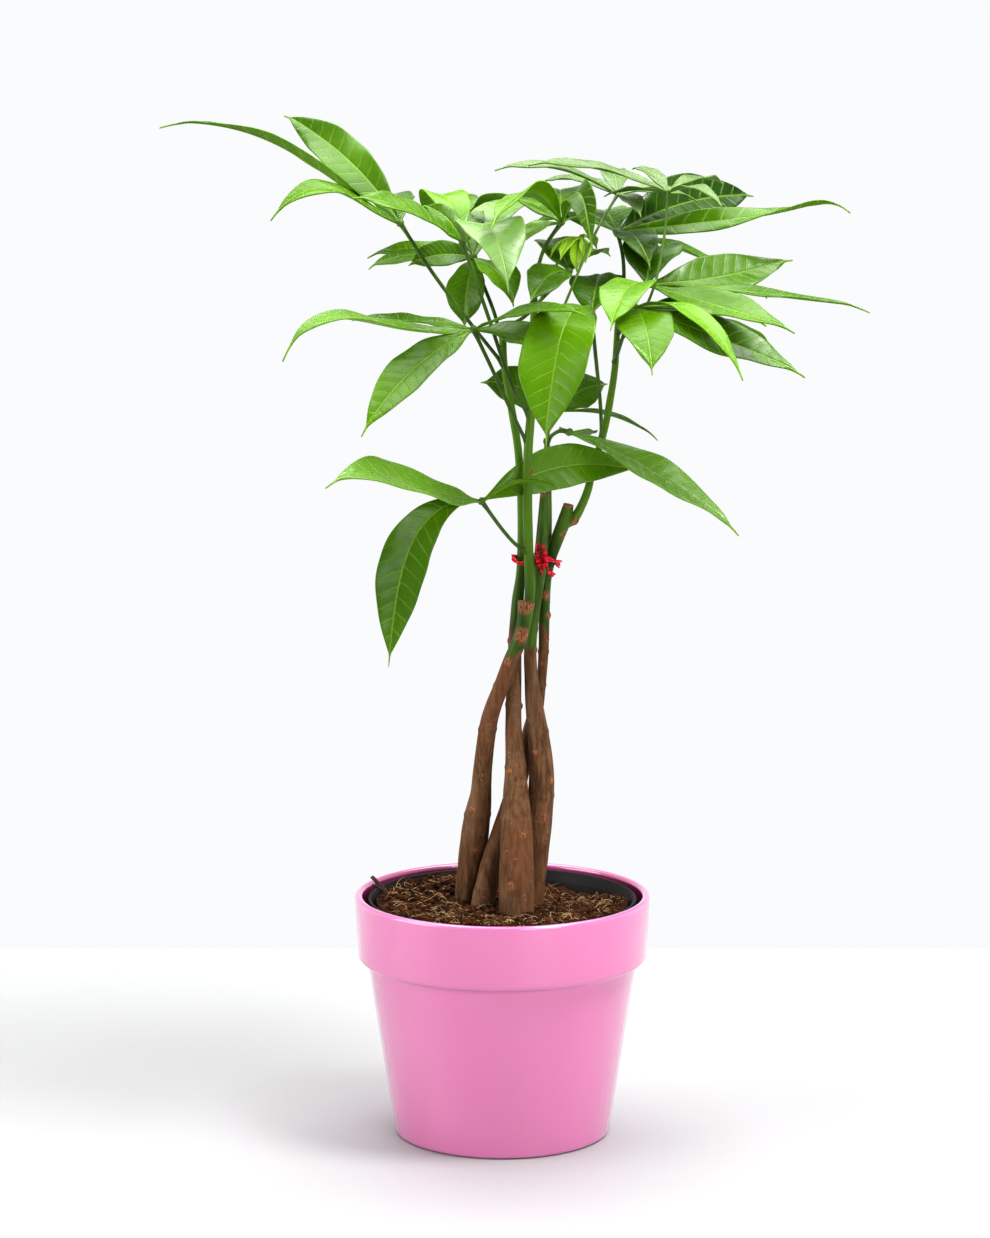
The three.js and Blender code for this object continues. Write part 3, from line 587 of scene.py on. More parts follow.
def add_trunk(name, seed):
    heap = Heap()
    start, over = GREEN_FROM[name]
    for index, rows in enumerate(TRUNKS[name]):
        main = index == 0
        sides = TRUNK_SIDES if main else SHOOT_SIDES
        path = smooth_path(rows, 0.8 if main else 1.0)
        rings = rings_round(path, sides)
        radius = path[:, 3][:, None]
        middle = path[:, None, :3]
        skin = (middle + rings * radius[..., None]).reshape(-1, 3)
        height = skin[:, 2]
        edge = start + 5 * wobble(skin, (0.28, 0.28, 0.09), seed + 9)
        green = fade(height, edge - over / 2, edge + over / 2)
        rough = (1 - green) * fade(-height, -SMOOTH_ABOVE, -ROUGH_BELOW) + 0.18
        ridge = wobble(skin, (0.75, 0.75, 0.07), seed) * 0.17 * rough
        lump = wobble(skin, (0.14, 0.14, 0.06), seed + 3) * 0.3 * (0.35 + rough)
        grow = ridge + lump
        for level in RINGS[name]:
            grow += RING_RISE * np.exp(-((height - level - 1.5 * ridge) / RING_REACH) ** 2) * main
        scar = np.zeros(len(skin))
        for x, y, z, size, proud in SCARS[name]:
            gap = np.linalg.norm(skin - [x, y, z], axis=1)
            near = fade(-gap, -size * 1.35, -size * 0.5)
            scar = np.maximum(scar, near)
            grow += proud * fade(-gap, -size * 1.2, -size * 0.2)
        # The bark is torn off round a pruned end
        pruned = main and name != "trunk_front"
        if pruned:
            top = rows[-1][2]
            torn = height + 0.8 * wobble(skin, (0.5, 0.5, 0.5), seed)
            scar = np.maximum(scar, 0.85 * fade(torn, top - 2.2, top - 0.6))
        skin += rings.reshape(-1, 3) * grow[:, None]
        faces = tube_faces(len(path), sides)
        slots = [0] * (len(faces) - 1) + [1 if pruned else 0]
        young = 0.85 if not main or name == "trunk_front" else 0.0
        heap.put(skin, faces, slots, green=green, scar=scar, young=young * fade(height, *PALER))
    heap.piece(name + "_bark", [bark, cut_wood], name, "bark")


# Leaves

# Each leaf has its stalk's points, its hub, and leaflets as rows of
# [heading, rise, length, arch, width, roll, tone]. The heading turns from +X
# towards +Y, a rise above zero points upwards, and a roll above zero lifts the
# right-hand edge, seen from the hub. The tone runs from 0, dark, to 1, pale,
# and 2, the palest; it is partly the leaflet's own green and partly painted
# light and shade, and above 1 it paints sheen, on the sprouts light shining
# through. Some rows end with a peak, where along the leaflet the arch
# is highest, and a twist, what the roll gains by the tip.
LEAVES = {
    "leaf_01": ([[0.9, 5, 377], [-16, 7, 398], [-34, 9, 422]], [-49, 10, 445], [
        [-175, 23, 124, 12, 17, -10, 0.5, 0.6, 0], [130, 29, 108, 6, 21, 42, 0.4, 0.45, 0],
        [-152, 3, 69, 15, 15, 25, 0.55, 0.6, 0], [100, 4, 84, 8, 25, 0, 0.4]]),
    "leaf_02": ([[13.3, -11.2, 353], [5, -11, 368], [-8, -9.5, 405]], [-19, -12, 437], [
        [-147, 21, 64, 4, 19, 30, 0.55], [113, 12, 52, 16, 22, 0, 1.2], [165, 42, 26, 3, 12, 40, 0.5],
        [-71, -16, 71, 19, 31, 0, 1.6]]),
    "leaf_03": ([[15, -5, 408], [16, -5, 420], [20, -5, 434]], [28, -5, 446], [
        [-116, 1, 78, 15, 17, -20, 0.9, 0.45, 0], [-74, -14, 50, 21, 14, -45, 0.4],
        [90, 3, 80, 12, 26, 0, 0.35], [66, -8, 35, 4, 16, 0, 0.5], [128, 4, 72.5, 8, 24, 0, 0.6],
        [-135, -18, 40, 3, 20, 0, 0.4]]),
    "leaf_04": ([[14, -9.3, 363], [22, -8, 388], [33, -5, 415], [45, 12, 441]], [56, 35, 458], [
        [-160, 12, 65, 6, 12, 15, 0.6], [137, 6, 52, 4, 12, 10, 0.7], [-74, -14, 38, 3, 11, 0, 0.7],
        [25, -5, 46, 4, 11, -20, 0.8], [92, 10, 50, 5, 14, 0, 0.6]]),
    "leaf_05": ([[55.2, 2, 399], [58, 13, 411], [58.5, 27, 427]], [56, 38, 440], [
        [39, 10, 94, 5, 28, -62, 0.0], [-10, 6, 115, 4, 15, -90, 0.45, 0.88, 120],
        [15, -22, 85, 4, 17, -10, 0.4], [-74, -16, 54, 6, 20, 0, 0.25], [175, 4, 45, 5, 22, 0, 1.4],
        [98, 1, 78, 8, 27, 0, 0.4]]),
    "leaf_06": ([[55.1, 2.6, 393], [60, -4, 403], [65, -9, 411]], [68, -12, 417], [
        [32, 7, 88, -3, 23, -45, 0.45], [78, 16, 53, 8, 29, 0, 0.2],
        [6, -6, 109, 1, 15, -10, 0.5, 0.4, 0], [-37, -12, 85, 0, 22, -20, 0.55],
        [-108, -15, 64, 8, 25, 0, 1.1]]),
    "leaf_07": ([[54.1, 4.6, 379], [56, -10, 388], [59, -21, 399]], [62, -28, 407], [
        [10, -7, 65, 4, 19, -15, 0.35], [-47, -22, 77, 13, 14, 0, 1.2, 0.45, 0],
        [-14, -20, 87, 1, 23, -35, 0.55], [-83, -27, 59, 8, 27, 0, 0.8],
        [41, -13, 98, 5, 18, -10, 0.45]]),
    "leaf_08": ([[12.4, -13.8, 340], [5, -14, 355], [-5, -15, 377]], [-14, -15, 396], [
        [-162, -7, 96, 15, 19, 10, 1.3, 0.72, 0], [-136, -32, 85, 6, 21, 26, 0.7],
        [160, 4, 62, 1, 15, 10, 0.6], [-47, 9, 76, 4, 14, -20, 0.5], [-12, -17, 46, 4, 19, -25, 0.55]]),
    "leaf_09": ([[48, 10, 341], [47, -1, 358], [44, -14, 385]], [42, -20, 404], [
        [-112, -43, 84, 21, 36, 0, 0.7, 0.36, 0], [84, 15, 62, 3, 26, 0, 0.25]]),
    "leaf_10": ([[12.6, -10.2, 288], [6, -12, 293], [0, -14, 300]], [-10, -16, 314], [
        [-142, 9, 92, 8, 23, 34, 1.35, 0.72, 0], [-149, -56, 92, 22, 23, 60, 0.5, 0.36, 0],
        [21, 8, 84, 9, 21, -80, 0.75], [-20, 12, 41, 6, 6, 0, 0.45]]),
    "leaf_11": ([[21.2, 6, 340], [24, 1, 344], [28, -4, 346.5]], [32, -5, 346], [
        [-17, -28, 96, 4, 21, -22, 1.35, 0.45, 0], [78, -9, 46, 1, 18, 0, 0.4]]),
    "leaf_12": ([[0.4, 5, 386], [-4, 12, 402], [-10, 21, 417]], [-14, 25, 428], [
        [130, -5, 85, 4, 16, 40, 0.55], [160, 0, 56, 4, 14, 20, 0.4], [-175, -6, 32, 3, 16, 50, 0.35],
        [68, 16, 86, 12, 25, 0, 1.5], [102, 20, 81, 10, 23, 0, 0.45], [-50, -35, 38, 5, 22, 0, 0.7],
        [-110, -68, 36, 3, 20, 0, 0.6]]),
    "leaf_13": ([[54.6, 3.6, 387], [64, -9, 399], [71, -20, 415], [76, -12, 436]], [79, 5, 460], [
        [118, 18, 36, 3, 10, 0, 0.7], [150, -3, 35, 2, 10, 0, 0.6], [-56, -7, 43, 5, 10, 0, 0.75],
        [-172, 12, 69, 4, 14, 15, 0.55], [50, 5, 45, 4, 12, 0, 0.7]]),
    "leaf_14": ([[21.6, 6, 336], [22, 12, 344], [24, 18, 350]], [26, 20, 354], [
        [168, 20, 40, 4, 22, 55, 0.45], [20, 25, 30, 3, 20, -55, 0.5], [-8.5, -14, 52, 5, 8.5, 0, 0.35]]),
    "leaf_15": ([[0.2, 5, 395], [10, 7, 400], [21, 9, 411]], [32, 10, 422], [
        [-111, -12, 56, 5, 19, 20, 0.4], [66, 7, 53, 5, 14, 0, 0.6], [104, 14, 52, 5, 21, 0, 0.5]]),
    "leaf_16": ([[14.8, -5.6, 400], [20, 1, 413], [29, 11, 430]], [38, 16, 438], [
        [-128, -30, 20, 3, 7, 0, 2.0], [60, -20, 17, 3, 6, 0, 1.7], [-75, -60, 14, 3, 6, 0, 2.0],
        [-110, -66, 18, 3, 7, 0, 2.0], [-170, -30, 18, 3, 6, 0, 1.8]]),
}
YOUNG = ("leaf_04", "leaf_13", "leaf_16")

ARCH_PEAK = 0.5  # unless the row says otherwise
BLADE = 0.6  # thickness
BLADE_STEP = 1.5
GROOVE = 0.22  # how far the midrib is sunk in the top
KEEL = 0.5  # how far it stands out below
FOLD = 12  # degrees that each half rises from the rib
HANG = 0.14  # the share of the length that droops at the tip
DROOP = 0.025  # of the length
BODY = 0.95  # the share of the length before the thin tip
OUTLINE = (4.91, 1.2, 1.1)  # scales the widest place to 1, and how the foot and the tip taper
UNEVEN = (0.035, 0.015)  # slow and quick changes of the margin
TIP_HALF = 0.12  # half the width of the tip
FOOT_HALF = 0.8  # how much more that is at the foot
# Shares of the width: the bulges between veins, the margin's wave, ripple and curl
QUILT, WAVE, RIPPLE, CURL = 0.01, 0.035, 0.022, 0.02
ACROSS = np.array([-1, -0.94, -0.82, -0.66, -0.49, -0.33, -0.19, -0.085, 0,
                   0.085, 0.19, 0.33, 0.49, 0.66, 0.82, 0.94, 1])
VEIN_PAIRS = 13
HUB_RADIUS = 2.0
KNOB_SIDES, KNOB_RINGS = 14, 9
STALK_SIDES = 12
STALK_STEP = 1.4


def blade_faces(rows, wide):
    """Faces of a sheet with a top, an underside and rims, and the material slot of each."""
    index = np.arange(rows * wide).reshape(rows, wide)
    upper = np.stack([index[:-1, :-1], index[:-1, 1:], index[1:, 1:], index[1:, :-1]], -1).reshape(-1, 4)
    lower = upper[:, ::-1] + rows * wide
    rims = []
    for edge, reverse in ((index[:, 0], False), (index[:, -1], True), (index[0], True), (index[-1], False)):
        below = edge + rows * wide
        quads = np.stack([edge[:-1], edge[1:], below[1:], below[:-1]], -1)
        rims.append(quads[:, ::-1] if reverse else quads)
    rims = np.concatenate(rims)
    return np.concatenate([upper, lower, rims]), [0] * len(upper) + [1] * (len(lower) + len(rims))


def leaflet(heap, hub, row, young):
    heading, rise, length, arch, width, roll, tone, *rest = row
    peak, twist = rest or (ARCH_PEAK, 0)
    a, r = math.radians(heading), math.radians(rise)
    skew = math.log(0.5) / math.log(peak)
    along = np.array([math.cos(r) * math.cos(a), math.cos(r) * math.sin(a), math.sin(r)])
    right = np.array([math.sin(a), -math.cos(a), 0.0])
    up = np.cross(right, along)
    rows = max(20, round(length / BLADE_STEP)) + 1
    s = np.linspace(0, 1, rows)

    def rib_at(share):
        share = share[:, None]
        return hub + along * share * length + up * arch * np.sin(np.pi * np.clip(share, 0, 1.2) ** skew)

    tangent = unit(rib_at(s + 0.01) - rib_at(np.maximum(0, s - 0.01)))
    turn = np.radians(roll + twist * s)[:, None]
    flank = right * np.cos(turn) + up * np.sin(turn)
    across = unit(flank - tangent * (flank * tangent).sum(1, keepdims=True))
    face = np.cross(across, tangent)
    droop = (DROOP * length) * np.clip((s - (1 - HANG)) / HANG, 0, 1) ** 2
    rib = rib_at(s) - face * droop[:, None]

    # The outline, where c runs from -1 to 1 across the blade
    t = np.minimum(1, s / BODY)
    scale, foot_taper, tip_taper = OUTLINE
    outline = (scale * t**foot_taper * (1 - t) ** tip_taper)[:, None]
    s = s[:, None]
    phase = rng.uniform(0, 2 * np.pi, 4)
    c = ACROSS[None, :]
    side, edge = np.sign(c), np.abs(c)
    slow = UNEVEN[0] * np.sin(9 * s + phase[0] + side)
    uneven = 1 + slow + UNEVEN[1] * np.sin(31 * s + phase[1] * side)
    half = np.maximum(FOOT_HALF * (1 - s**8) + TIP_HALF, outline * width / 2 * uneven)
    out = c * half

    # How far the sheet's middle stands off the flat, and where the side veins run
    distance = np.abs(out)
    spacing = length / VEIN_PAIRS
    vein = (s * length - 0.5 * distance - 0.014 * distance**2) / spacing + 0.35 * (side < 0)
    broad = fade(outline, 0.05, 0.5)
    bulge = np.abs(np.sin(np.pi * vein)) ** 0.75 - 0.62
    quilt = bulge * fade(edge, 0.03, 0.22) * (1 - 0.75 * edge**5)
    quilt *= QUILT * width * broad * (0.8 if young else 1.0)
    lift = half * math.tan(math.radians(FOLD)) * edge**1.3
    wave = WAVE * width * np.sin(3.2 * np.pi * s) * side * edge**1.6 * broad
    ripple = RIPPLE * width * np.sin(2 * np.pi * (3.1 + side * 0.4) * s + phase[2] + side * phase[3])
    ripple = ripple * edge**3 * fade(outline, 0.0, 0.4)
    middle = lift + wave + ripple - CURL * width * edge**6 + quilt
    groove = -GROOVE * np.exp(-((out / 0.8) ** 2))
    keel = -KEEL * np.exp(-((out / 0.9) ** 2)) * (1 - s**6)
    base = rib[:, None, :] + across[:, None, :] * out[..., None]
    top = base + face[:, None, :] * (middle + groove + BLADE / 2)[..., None]
    under = base + face[:, None, :] * (middle + keel - BLADE / 2)[..., None]

    faces, slots = blade_faces(rows, len(ACROSS))
    spread = np.stack([0.5 + out / MAP_WIDTH, vein / MAP_VEINS], -1).reshape(-1, 2)
    tones = (tone + 0.1 * np.sin(5 * s + phase[0]) * np.ones_like(out)).ravel()
    heap.put(np.concatenate([top, under]), faces, slots, np.tile(spread, (2, 1)), tone=np.tile(tones, 2))


def knob(heap, centre, radius, slot, tone):
    """A small lumpy ball."""
    sides = KNOB_SIDES
    points = [centre + [0, 0, radius]]
    for k in range(1, KNOB_RINGS):
        polar = math.pi * k / KNOB_RINGS
        for i in range(sides):
            turn = 2 * math.pi * i / sides
            grow = radius * (1 + 0.12 * math.sin(3 * turn + 2 * polar))
            flat = math.sin(polar)
            way = np.array([flat * math.cos(turn), flat * math.sin(turn), math.cos(polar)])
            points.append(centre + grow * way)
    points.append(centre - [0, 0, radius])
    faces = [(0, 1 + i, 1 + (i + 1) % sides) for i in range(sides)]
    for a, b, c, d in band_faces(KNOB_RINGS - 1, sides, 1):
        faces.append((a, d, c, b))
    last = 1 + (KNOB_RINGS - 2) * sides
    faces += [(len(points) - 1, last + (i + 1) % sides, last + i) for i in range(sides)]
    heap.put(np.array(points), faces, slot, tone=tone)


def add_leaf(name):
    stalk, hub, rows = LEAVES[name]
    hub = np.array(hub, dtype=float)
    young = name in YOUNG
    heap = Heap()
    for row in rows:
        leaflet(heap, hub, row, young)
    thin = 0.65 if young else 0.9
    path = smooth_path([*stalk, hub], STALK_STEP)
    gone = np.arange(len(path)) * STALK_STEP
    radius = thin + 0.9 * np.exp(-((gone / 3.2) ** 2)) + 0.4 * np.exp(-(((gone[-1] - gone) / 4) ** 2))
    tube(heap, path, radius, STALK_SIDES, 2, tone=0.35 if young else 0.12)
    knob(heap, hub, HUB_RADIUS * (0.7 if young else 0.9), 2, 0.7 if young else 0.4)
    sorts = young_blade if young else blade
    heap.piece(name + "_blades", [*sorts, stalk_green], name, "young" if young else "leaf")


# Pots

PLANTER_RADIUS = 72.5
PLANTER_HEIGHT = 119.0
BASE_RADIUS = 53.0
PLANTER_WALL = 4.6
FLOOR = 5.0
COLLAR_FOOT = 87.6
NECK_INSET = 6.1  # from the lip's radius to the neck's
PLANTER_SIDES = 192
POT_BASE_RADIUS, POT_MOUTH_RADIUS, POT_RIM_RADIUS = 45.0, 63.4, 65.8
POT_FOOT, POT_TOP, POT_WALL, POT_FLOOR = 5.3, 117.0, 1.3, 2.0
POT_RIM = 5  # the rim's height
POT_SIDES = 160
DRAINS, DRAIN_SIDES = 6, 24
DRAIN_RING, DRAIN_RADIUS = 28, 4
DRAIN_ENDS = (0.5, 10.0)  # heights between which the holes are cut
SOIL_TOP = 112.5


def rounded(corners, steps=7):
    """A profile of corners [radius, height, rounding] with its corners rounded."""
    points = [np.array(corners[0][:2], dtype=float)]
    for before, here, after in zip(corners, corners[1:], corners[2:]):
        corner = np.array(here[:2], dtype=float)
        start = np.array(before[:2]) - corner
        end = np.array(after[:2]) - corner
        reach = min(here[2], 0.48 * np.linalg.norm(start), 0.48 * np.linalg.norm(end))
        start = corner + start / np.linalg.norm(start) * reach
        end = corner + end / np.linalg.norm(end) * reach
        for t in np.linspace(0, 1, steps):
            points.append((1 - t) ** 2 * start + 2 * t * (1 - t) * corner + t * t * end)
    points.append(np.array(corners[-1][:2], dtype=float))
    return np.array(points)


def circle(radius, z, sides):
    turn = 2 * np.pi * np.arange(sides) / sides
    return np.stack([radius * np.cos(turn), radius * np.sin(turn), np.full(sides, z)], -1)


def turned(profile, sides):
    """A body turned round Z from a profile that starts and ends on the axis."""
    points = [circle(radius, height, sides) for radius, height in profile[1:-1]]
    points = [[[0, 0, profile[0][1]]], *points, [[0, 0, profile[-1][1]]]]
    return np.concatenate(points), capped_faces(len(profile) - 2, sides)


def add_planter():
    lip = PLANTER_RADIUS
    neck = lip - NECK_INSET
    base = BASE_RADIUS
    profile = rounded([
        (0, 0, 0), (base - 3, 0, 1), (base, 0.4, 1.6), (neck, COLLAR_FOOT - 1, 1.6),
        (lip - 1.5, COLLAR_FOOT, 3.4), (lip - 0.1, PLANTER_HEIGHT, 2.6), (lip - 4.1, PLANTER_HEIGHT, 2.4),
        (lip - 5, COLLAR_FOOT + 5, 4), (neck - PLANTER_WALL, COLLAR_FOOT - 6, 4),
        (base - PLANTER_WALL + 0.4, FLOOR + 3, 5), (base - PLANTER_WALL - 2, FLOOR, 1), (0, FLOOR, 0),
    ])
    points, faces = turned(profile, PLANTER_SIDES)
    heights = np.array([height for _, height in profile])
    depth = (PLANTER_HEIGHT - heights) * (np.arange(len(heights)) > heights.argmax())
    depth = np.concatenate([depth[:1], np.repeat(depth[1:-1], PLANTER_SIDES), depth[-1:]])
    # The inside value paints shade on the inner wall and floor: none at the rim's top, full from 2 mm down
    add_piece("planter_glazed", points, faces, [glaze], "planter",
              values={"inside": fade(depth, 0.1, 2)})


def pot_inside(z):
    """The radius inside the nursery pot, at a height."""
    share = (z - POT_FOOT) / (POT_TOP - POT_RIM - POT_FOOT)
    return POT_BASE_RADIUS + (POT_MOUTH_RADIUS - POT_BASE_RADIUS) * np.minimum(1, share) - POT_WALL


def add_nursery_pot():
    foot, top, rim = POT_FOOT, POT_TOP, POT_RIM_RADIUS
    under_rim = top - POT_RIM
    inside = foot + POT_FLOOR
    profile = rounded([
        (0, foot, 0), (POT_BASE_RADIUS, foot, 1.2), (POT_MOUTH_RADIUS, under_rim, 0.4),
        (rim - 0.4, under_rim + 0.4, 0.8), (rim, top, 0.8), (rim - 1.4, top, 0.6),
        (POT_MOUTH_RADIUS - POT_WALL, under_rim, 0.6), (float(pot_inside(inside)), inside, 0.3),
        (0, inside, 0),
    ], 4)
    points, faces = turned(profile, POT_SIDES)
    pot = add_piece("nursery_pot_moulded", points, faces, [plastic], "nursery_pot")
    drains = Heap()
    for k in range(DRAINS):
        turn = 2 * math.pi * k / DRAINS
        x, y = DRAIN_RING * math.cos(turn), DRAIN_RING * math.sin(turn)
        tube(drains, np.array([[x, y, z] for z in DRAIN_ENDS]), DRAIN_RADIUS, DRAIN_SIDES)
    mesh = bpy.data.meshes.new("drains")
    mesh.from_pydata((np.concatenate(drains.points) * MM).tolist(), [], drains.faces)
    cutter = add_object("drains", mesh)
    bore = pot.modifiers.new("drains", "BOOLEAN")
    bore.object = cutter
    bore.solver = "EXACT"
    bpy.context.view_layer.update()
    seen = bpy.context.evaluated_depsgraph_get()
    holed = bpy.data.meshes.new_from_object(pot.evaluated_get(seen))
    pot.modifiers.remove(bore)
    pot.data = holed
    bpy.data.objects.remove(cutter)


# Soil

# Where trunks stand: [x, y, clear radius]
FOOTS = [(-19, 9.5, 8), (7.5, -18.5, 11), (13.5, 1, 8), (-11, -3, 8)]
HOLLOW_X, HOLLOW_Y = 34, 38  # where the soil is sunk
HEAP_HEIGHT, HOLLOW_DEPTH, BRIM_RISE = 1.6, 6, 3
SOIL_GAP = 0.3  # to the nursery pot
SOIL_SIDES, SOIL_RINGS = 200, 78
SOIL_REACH = 59  # how far out crumbs and fibres start
CRUMBS = 1500
CRUMB_SIZE = 1.5  # the largest radius, before it is stretched
# How many fibres each piece has, and how long the longest may be
FIBRES = {"coir_fibres": (380, 12), "coir_bits": (620, 6)}
FIBRE_REACH = 61  # how far out they may lie
FIBRE_STEPS, FIBRE_SIDES = 9, 5
FIBRE_LIFT = 0.7  # over the soil's own height


def soil_height(x, y):
    away = (x - HOLLOW_X) ** 2 + (y - HOLLOW_Y) ** 2
    heap = HEAP_HEIGHT * np.exp(-(x * x + y * y) / 900)
    sunk = HOLLOW_DEPTH * np.exp(-away / 620)
    lumps = 0.7 * np.sin(0.31 * x + 1.3) * np.cos(0.27 * y) + 0.45 * np.sin(0.7 * x - 0.62 * y)
    brim = BRIM_RISE * fade(np.hypot(x, y), 26, 58) * (1 - np.exp(-away / 1500))
    return SOIL_TOP + heap - sunk + brim + lumps


def crumble(points):
    flat = points * np.array([1, 1, 0])
    return (0.9 * wobble(flat, (0.16, 0.16, 1), 21) + 0.75 * np.abs(wobble(flat, (0.42, 0.42, 1), 22))
            + 0.4 * wobble(flat, (1.1, 1.1, 1), 23))


def add_soil():
    brim = float(pot_inside(SOIL_TOP)) - SOIL_GAP
    foot = POT_FOOT + POT_FLOOR + SOIL_GAP
    points = [[[0, 0, foot]]]
    for share, z in ((0.5, foot), (1, foot), (1, 60), (1, SOIL_TOP - 8)):
        points.append(circle(share * (float(pot_inside(z)) - SOIL_GAP), z, SOIL_SIDES))
    for share in np.linspace(1, 0.02, SOIL_RINGS):
        radius = share * brim
        ring = circle(radius, 0.0, SOIL_SIDES)
        ring[:, 2] = soil_height(ring[:, 0], ring[:, 1]) + crumble(ring)
        ring[:, :2] *= np.minimum(1, (pot_inside(ring[:, 2]) - SOIL_GAP) / radius)[:, None]
        points.append(ring)
    points.append([[0, 0, float(soil_height(0.0, 0.0))]])
    faces = capped_faces(len(points) - 2, SOIL_SIDES)
    points = np.concatenate(points)
    add_piece("soil_bed", points, faces, [peat], "soil", values={"tone": np.zeros(len(points))})


def on_soil():
    """A random place on the soil, clear of the trunks."""
    while True:
        radius = SOIL_REACH * math.sqrt(rng.uniform(0, 1))
        turn = rng.uniform(0, 2 * math.pi)
        x, y = radius * math.cos(turn), radius * math.sin(turn)
        if all(math.hypot(x - fx, y - fy) > clear for fx, fy, clear in FOOTS):
            return x, y


def add_crumbs():
    """Loose crumbs of peat, on the bed and partly sunk in it."""
    made = bmesh.new()
    bmesh.ops.create_icosphere(made, subdivisions=2, radius=1)
    made.verts.index_update()
    ball = np.array([v.co for v in made.verts])
    faces = [[v.index for v in face.verts] for face in made.faces]
    made.free()
    heap = Heap()
    for _ in range(CRUMBS):
        x, y = on_soil()
        size = rng.uniform(0.45, 1.0) ** 2 * CRUMB_SIZE
        shape = ball * rng.uniform(0.6, 1.3, 3) * size
        shape = shape * (1 + 0.35 * wobble(ball * 1.6 + rng.uniform(0, 40), (1, 1, 1), 2))[:, None]
        z = float(soil_height(x, y)) + 0.5 + size * rng.uniform(-0.1, 0.5)
        heap.put(shape + [x, y, z], faces, tone=rng.uniform(0, 1) ** 2)
    heap.piece("soil_crumbs", [peat], None, "soil")


def add_fibres(name):
    """Coir fibres that lie on the soil and stick out of it."""
    number, longest = FIBRES[name]
    heap = Heap()
    for _ in range(number):
        x, y = on_soil()
        length = rng.uniform(2.5, longest)
        heading = rng.uniform(0, 2 * math.pi)
        bend = rng.uniform(-0.12, 0.12)
        rise = rng.uniform(0.0, 1.0) ** 3 * 0.35 * length
        lean = rng.uniform(0.02, 0.13) * length
        path = []
        for _ in range(FIBRE_STEPS):
            path.append([x, y, 0.0])
            heading += bend * length / (FIBRE_STEPS - 1)
            x += math.cos(heading) * length / FIBRE_STEPS
            y += math.sin(heading) * length / FIBRE_STEPS
        path = np.array(path)
        away = np.hypot(path[:, 0], path[:, 1])
        path[:, :2] *= np.minimum(1, FIBRE_REACH / np.maximum(away, 1))[:, None]
        share = np.linspace(0, 1, FIBRE_STEPS)
        ground = soil_height(path[:, 0], path[:, 1]) + FIBRE_LIFT
        path[:, 2] = ground + lean * np.sin(np.pi * share) + rise * share**1.5
        radius = rng.uniform(0.07, 0.16) * (1 - 0.6 * share)
        tube(heap, path, radius, FIBRE_SIDES, tone=rng.uniform(0, 1) ** 1.2)
    heap.piece(name, [coir], None, "soil")


# Tie and twig

FOIL = 0.24  # thickness
FOIL_STEP = 0.5
TIE_LOOP = [
    [5.2, 1, 284], [7.4, -3.4, 282.6], [13.4, -5, 283.5], [18.8, -6.2, 285], [24, -4, 284],
    [27.6, 1.5, 282], [26, 8.4, 281.5], [18, 10, 283], [9.4, 7, 284],
]
TIE_TAILS = [
    [[17.5, -6.4, 284], [16.2, -8.2, 287.5], [17.6, -8.6, 290.5], [16.4, -7.8, 292.4]],
    [[19, -6.4, 285], [20.6, -8.2, 288], [19.4, -8.4, 290.4], [20.4, -7.6, 291.6]],
    [[18.4, -6.4, 284], [18, -8.2, 281.5], [19, -8.4, 279.4], [18.4, -7.6, 277.6]],
    [[19.4, -6.4, 283.6], [21.4, -8.2, 281], [22.8, -8.2, 278.6], [24.8, -7.6, 277]],
    [[18, -6.8, 285], [20.8, -8.4, 285.6], [21, -8.6, 282.6], [18.6, -8.6, 281.6]],
    [[18, -6.8, 284], [17.4, -8.4, 285.4], [17.2, -8.4, 282.2], [18.2, -8.6, 281.4]],
]


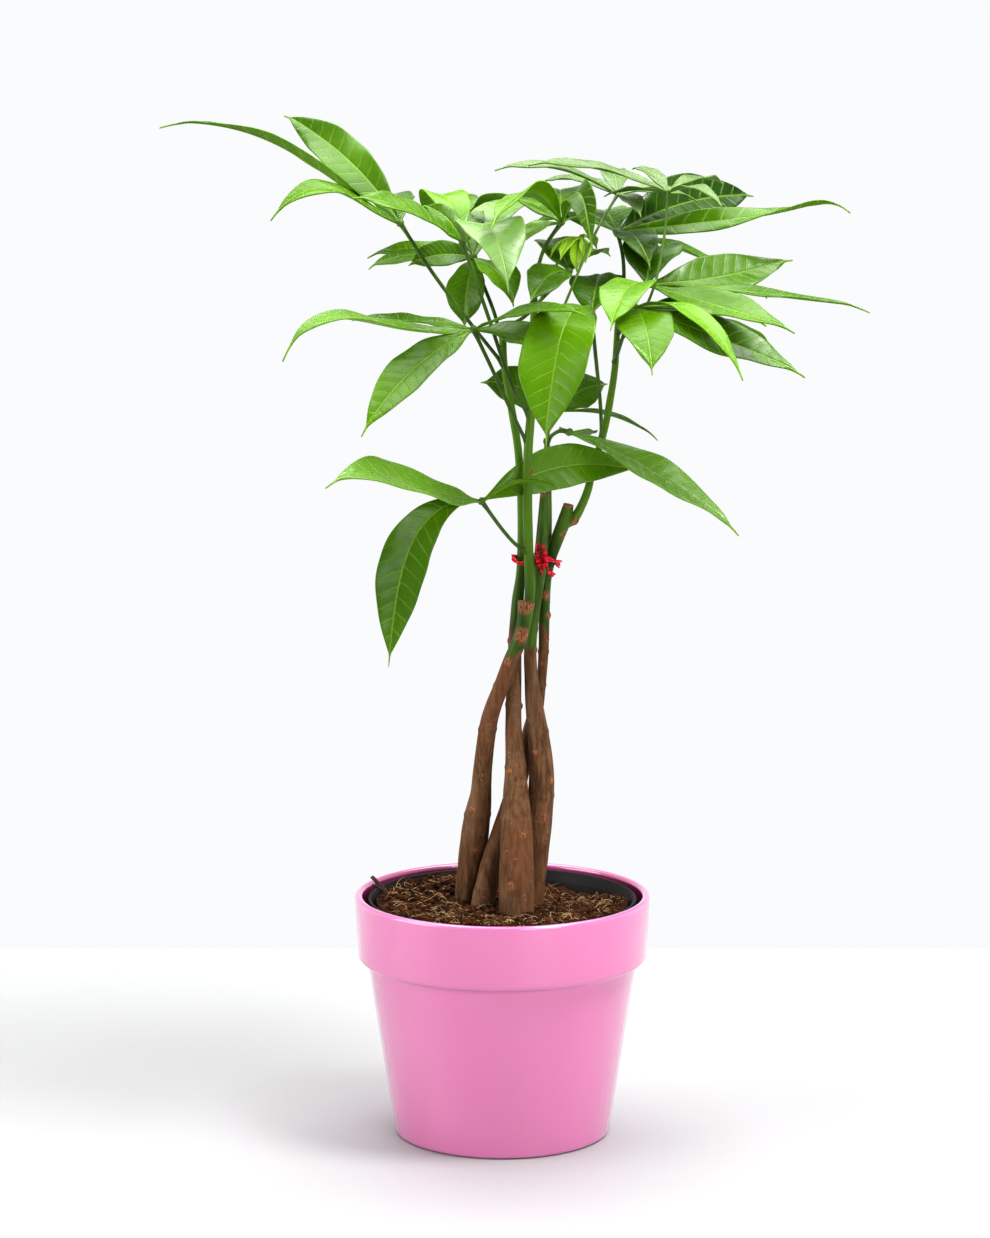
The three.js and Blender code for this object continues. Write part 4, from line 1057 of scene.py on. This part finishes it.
def ribbon(heap, rows, width, twists, closed, seed):
    """A crumpled, twisted strip of foil along rows of places, in a ring where it is closed."""
    rows = np.asarray(rows, dtype=float)
    path = smooth_path(np.vstack([rows[-2:], rows, rows[:3]]) if closed else rows, FOIL_STEP)
    if closed:
        gaps, half = np.linalg.norm(path - rows[0], axis=1), len(path) // 2
        path = path[np.argmin(gaps[:half]):half + np.argmin(gaps[half:])]
    tangents = unit(np.gradient(path, axis=0))
    share = np.linspace(0, 1, len(path), endpoint=not closed)
    turn = 2 * np.pi * twists * share + 0.5 * np.sin(14 * share + seed)
    out = unit(np.cross(tangents, [0.05, 0.1, 1.0]))
    level = np.cross(out, tangents)
    flat = level * np.cos(turn)[:, None] + out * np.sin(turn)[:, None]
    thin = np.cross(tangents, flat)
    across = np.linspace(-1, 1, 9)
    crumple = 0.45 * np.sin(across * 5 + 9 * share[:, None] * 6 + seed) * (0.4 + np.abs(across))
    pinch = 1 - 0.35 * np.sin(17 * share + seed) ** 2
    place = path[:, None, :] + flat[:, None, :] * (across * width / 2 * pinch[:, None])[..., None]
    upper = place + thin[:, None, :] * (crumple + FOIL / 2)[..., None]
    lower = place + thin[:, None, :] * (crumple - FOIL / 2)[..., None]
    loop = np.concatenate([upper, lower[:, ::-1]], axis=1)
    sides = loop.shape[1]
    faces = tube_faces(len(path), sides)
    if closed:
        ends = (len(path) - 1) * sides
        faces = faces[:-2] + [(ends + i, ends + (i + 1) % sides, (i + 1) % sides, i) for i in range(sides)]
    heap.put(loop, faces)


def add_tie():
    heap = Heap()
    ribbon(heap, TIE_LOOP, 2.8, 2, True, 1.0)
    raised = [[x, y, z + 1.6 * math.sin(0.4 * x)] for x, y, z in TIE_LOOP]
    ribbon(heap, raised, 2.0, 3, True, 2.6)
    for k, tail in enumerate(TIE_TAILS):
        ribbon(heap, tail, 2.9, 0.6, False, 1.7 * k)
    heap.piece("tie_foil", [foil], "tie", "foil")


TWIG_SIDES = 14
TWIG = [
    [[-53, 10, 108, 1], [-59, 11, 118.6, 1.2], [-64.5, 12, 124.5, 0.8]],
    [[-58, 11, 117, 1], [-61, 10, 119.4, 0.9], [-64, 8.4, 121, 0.6]],
]


def add_twig():
    heap = Heap()
    for rows in TWIG:
        path = smooth_path(rows, 0.4)
        rings = rings_round(path, TWIG_SIDES)
        skin = (path[:, None, :3] + rings * path[:, 3][:, None, None]).reshape(-1, 3)
        skin += rings.reshape(-1, 3) * (0.3 * wobble(skin, (0.8, 2.2, 2.2), 5))[:, None]
        heap.put(skin, tube_faces(len(path), TWIG_SIDES))
    heap.piece("twig_bark", [dry], "twig", "twig")


# The whole plant

blade = [leaf_material("leaf_top"), leaf_material("leaf_under")]
young_blade = [leaf_material("young_top"), leaf_material("young_under")]
stalk_green = stalk_material()
bark = bark_material()
cut_wood = cut_material()
glaze = glaze_material()
plastic = plastic_material()
peat = soil_material()
coir = fibre_material()
foil = foil_material()
dry = twig_material()

add_camera()
add_surroundings()
add_planter()
add_nursery_pot()
add_soil()
add_crumbs()
add_fibres("coir_fibres")
for number, trunk in enumerate(TRUNKS):
    add_trunk(trunk, number + 1)
for leaf in LEAVES:
    add_leaf(leaf)
add_fibres("coir_bits")
add_tie()
add_twig()
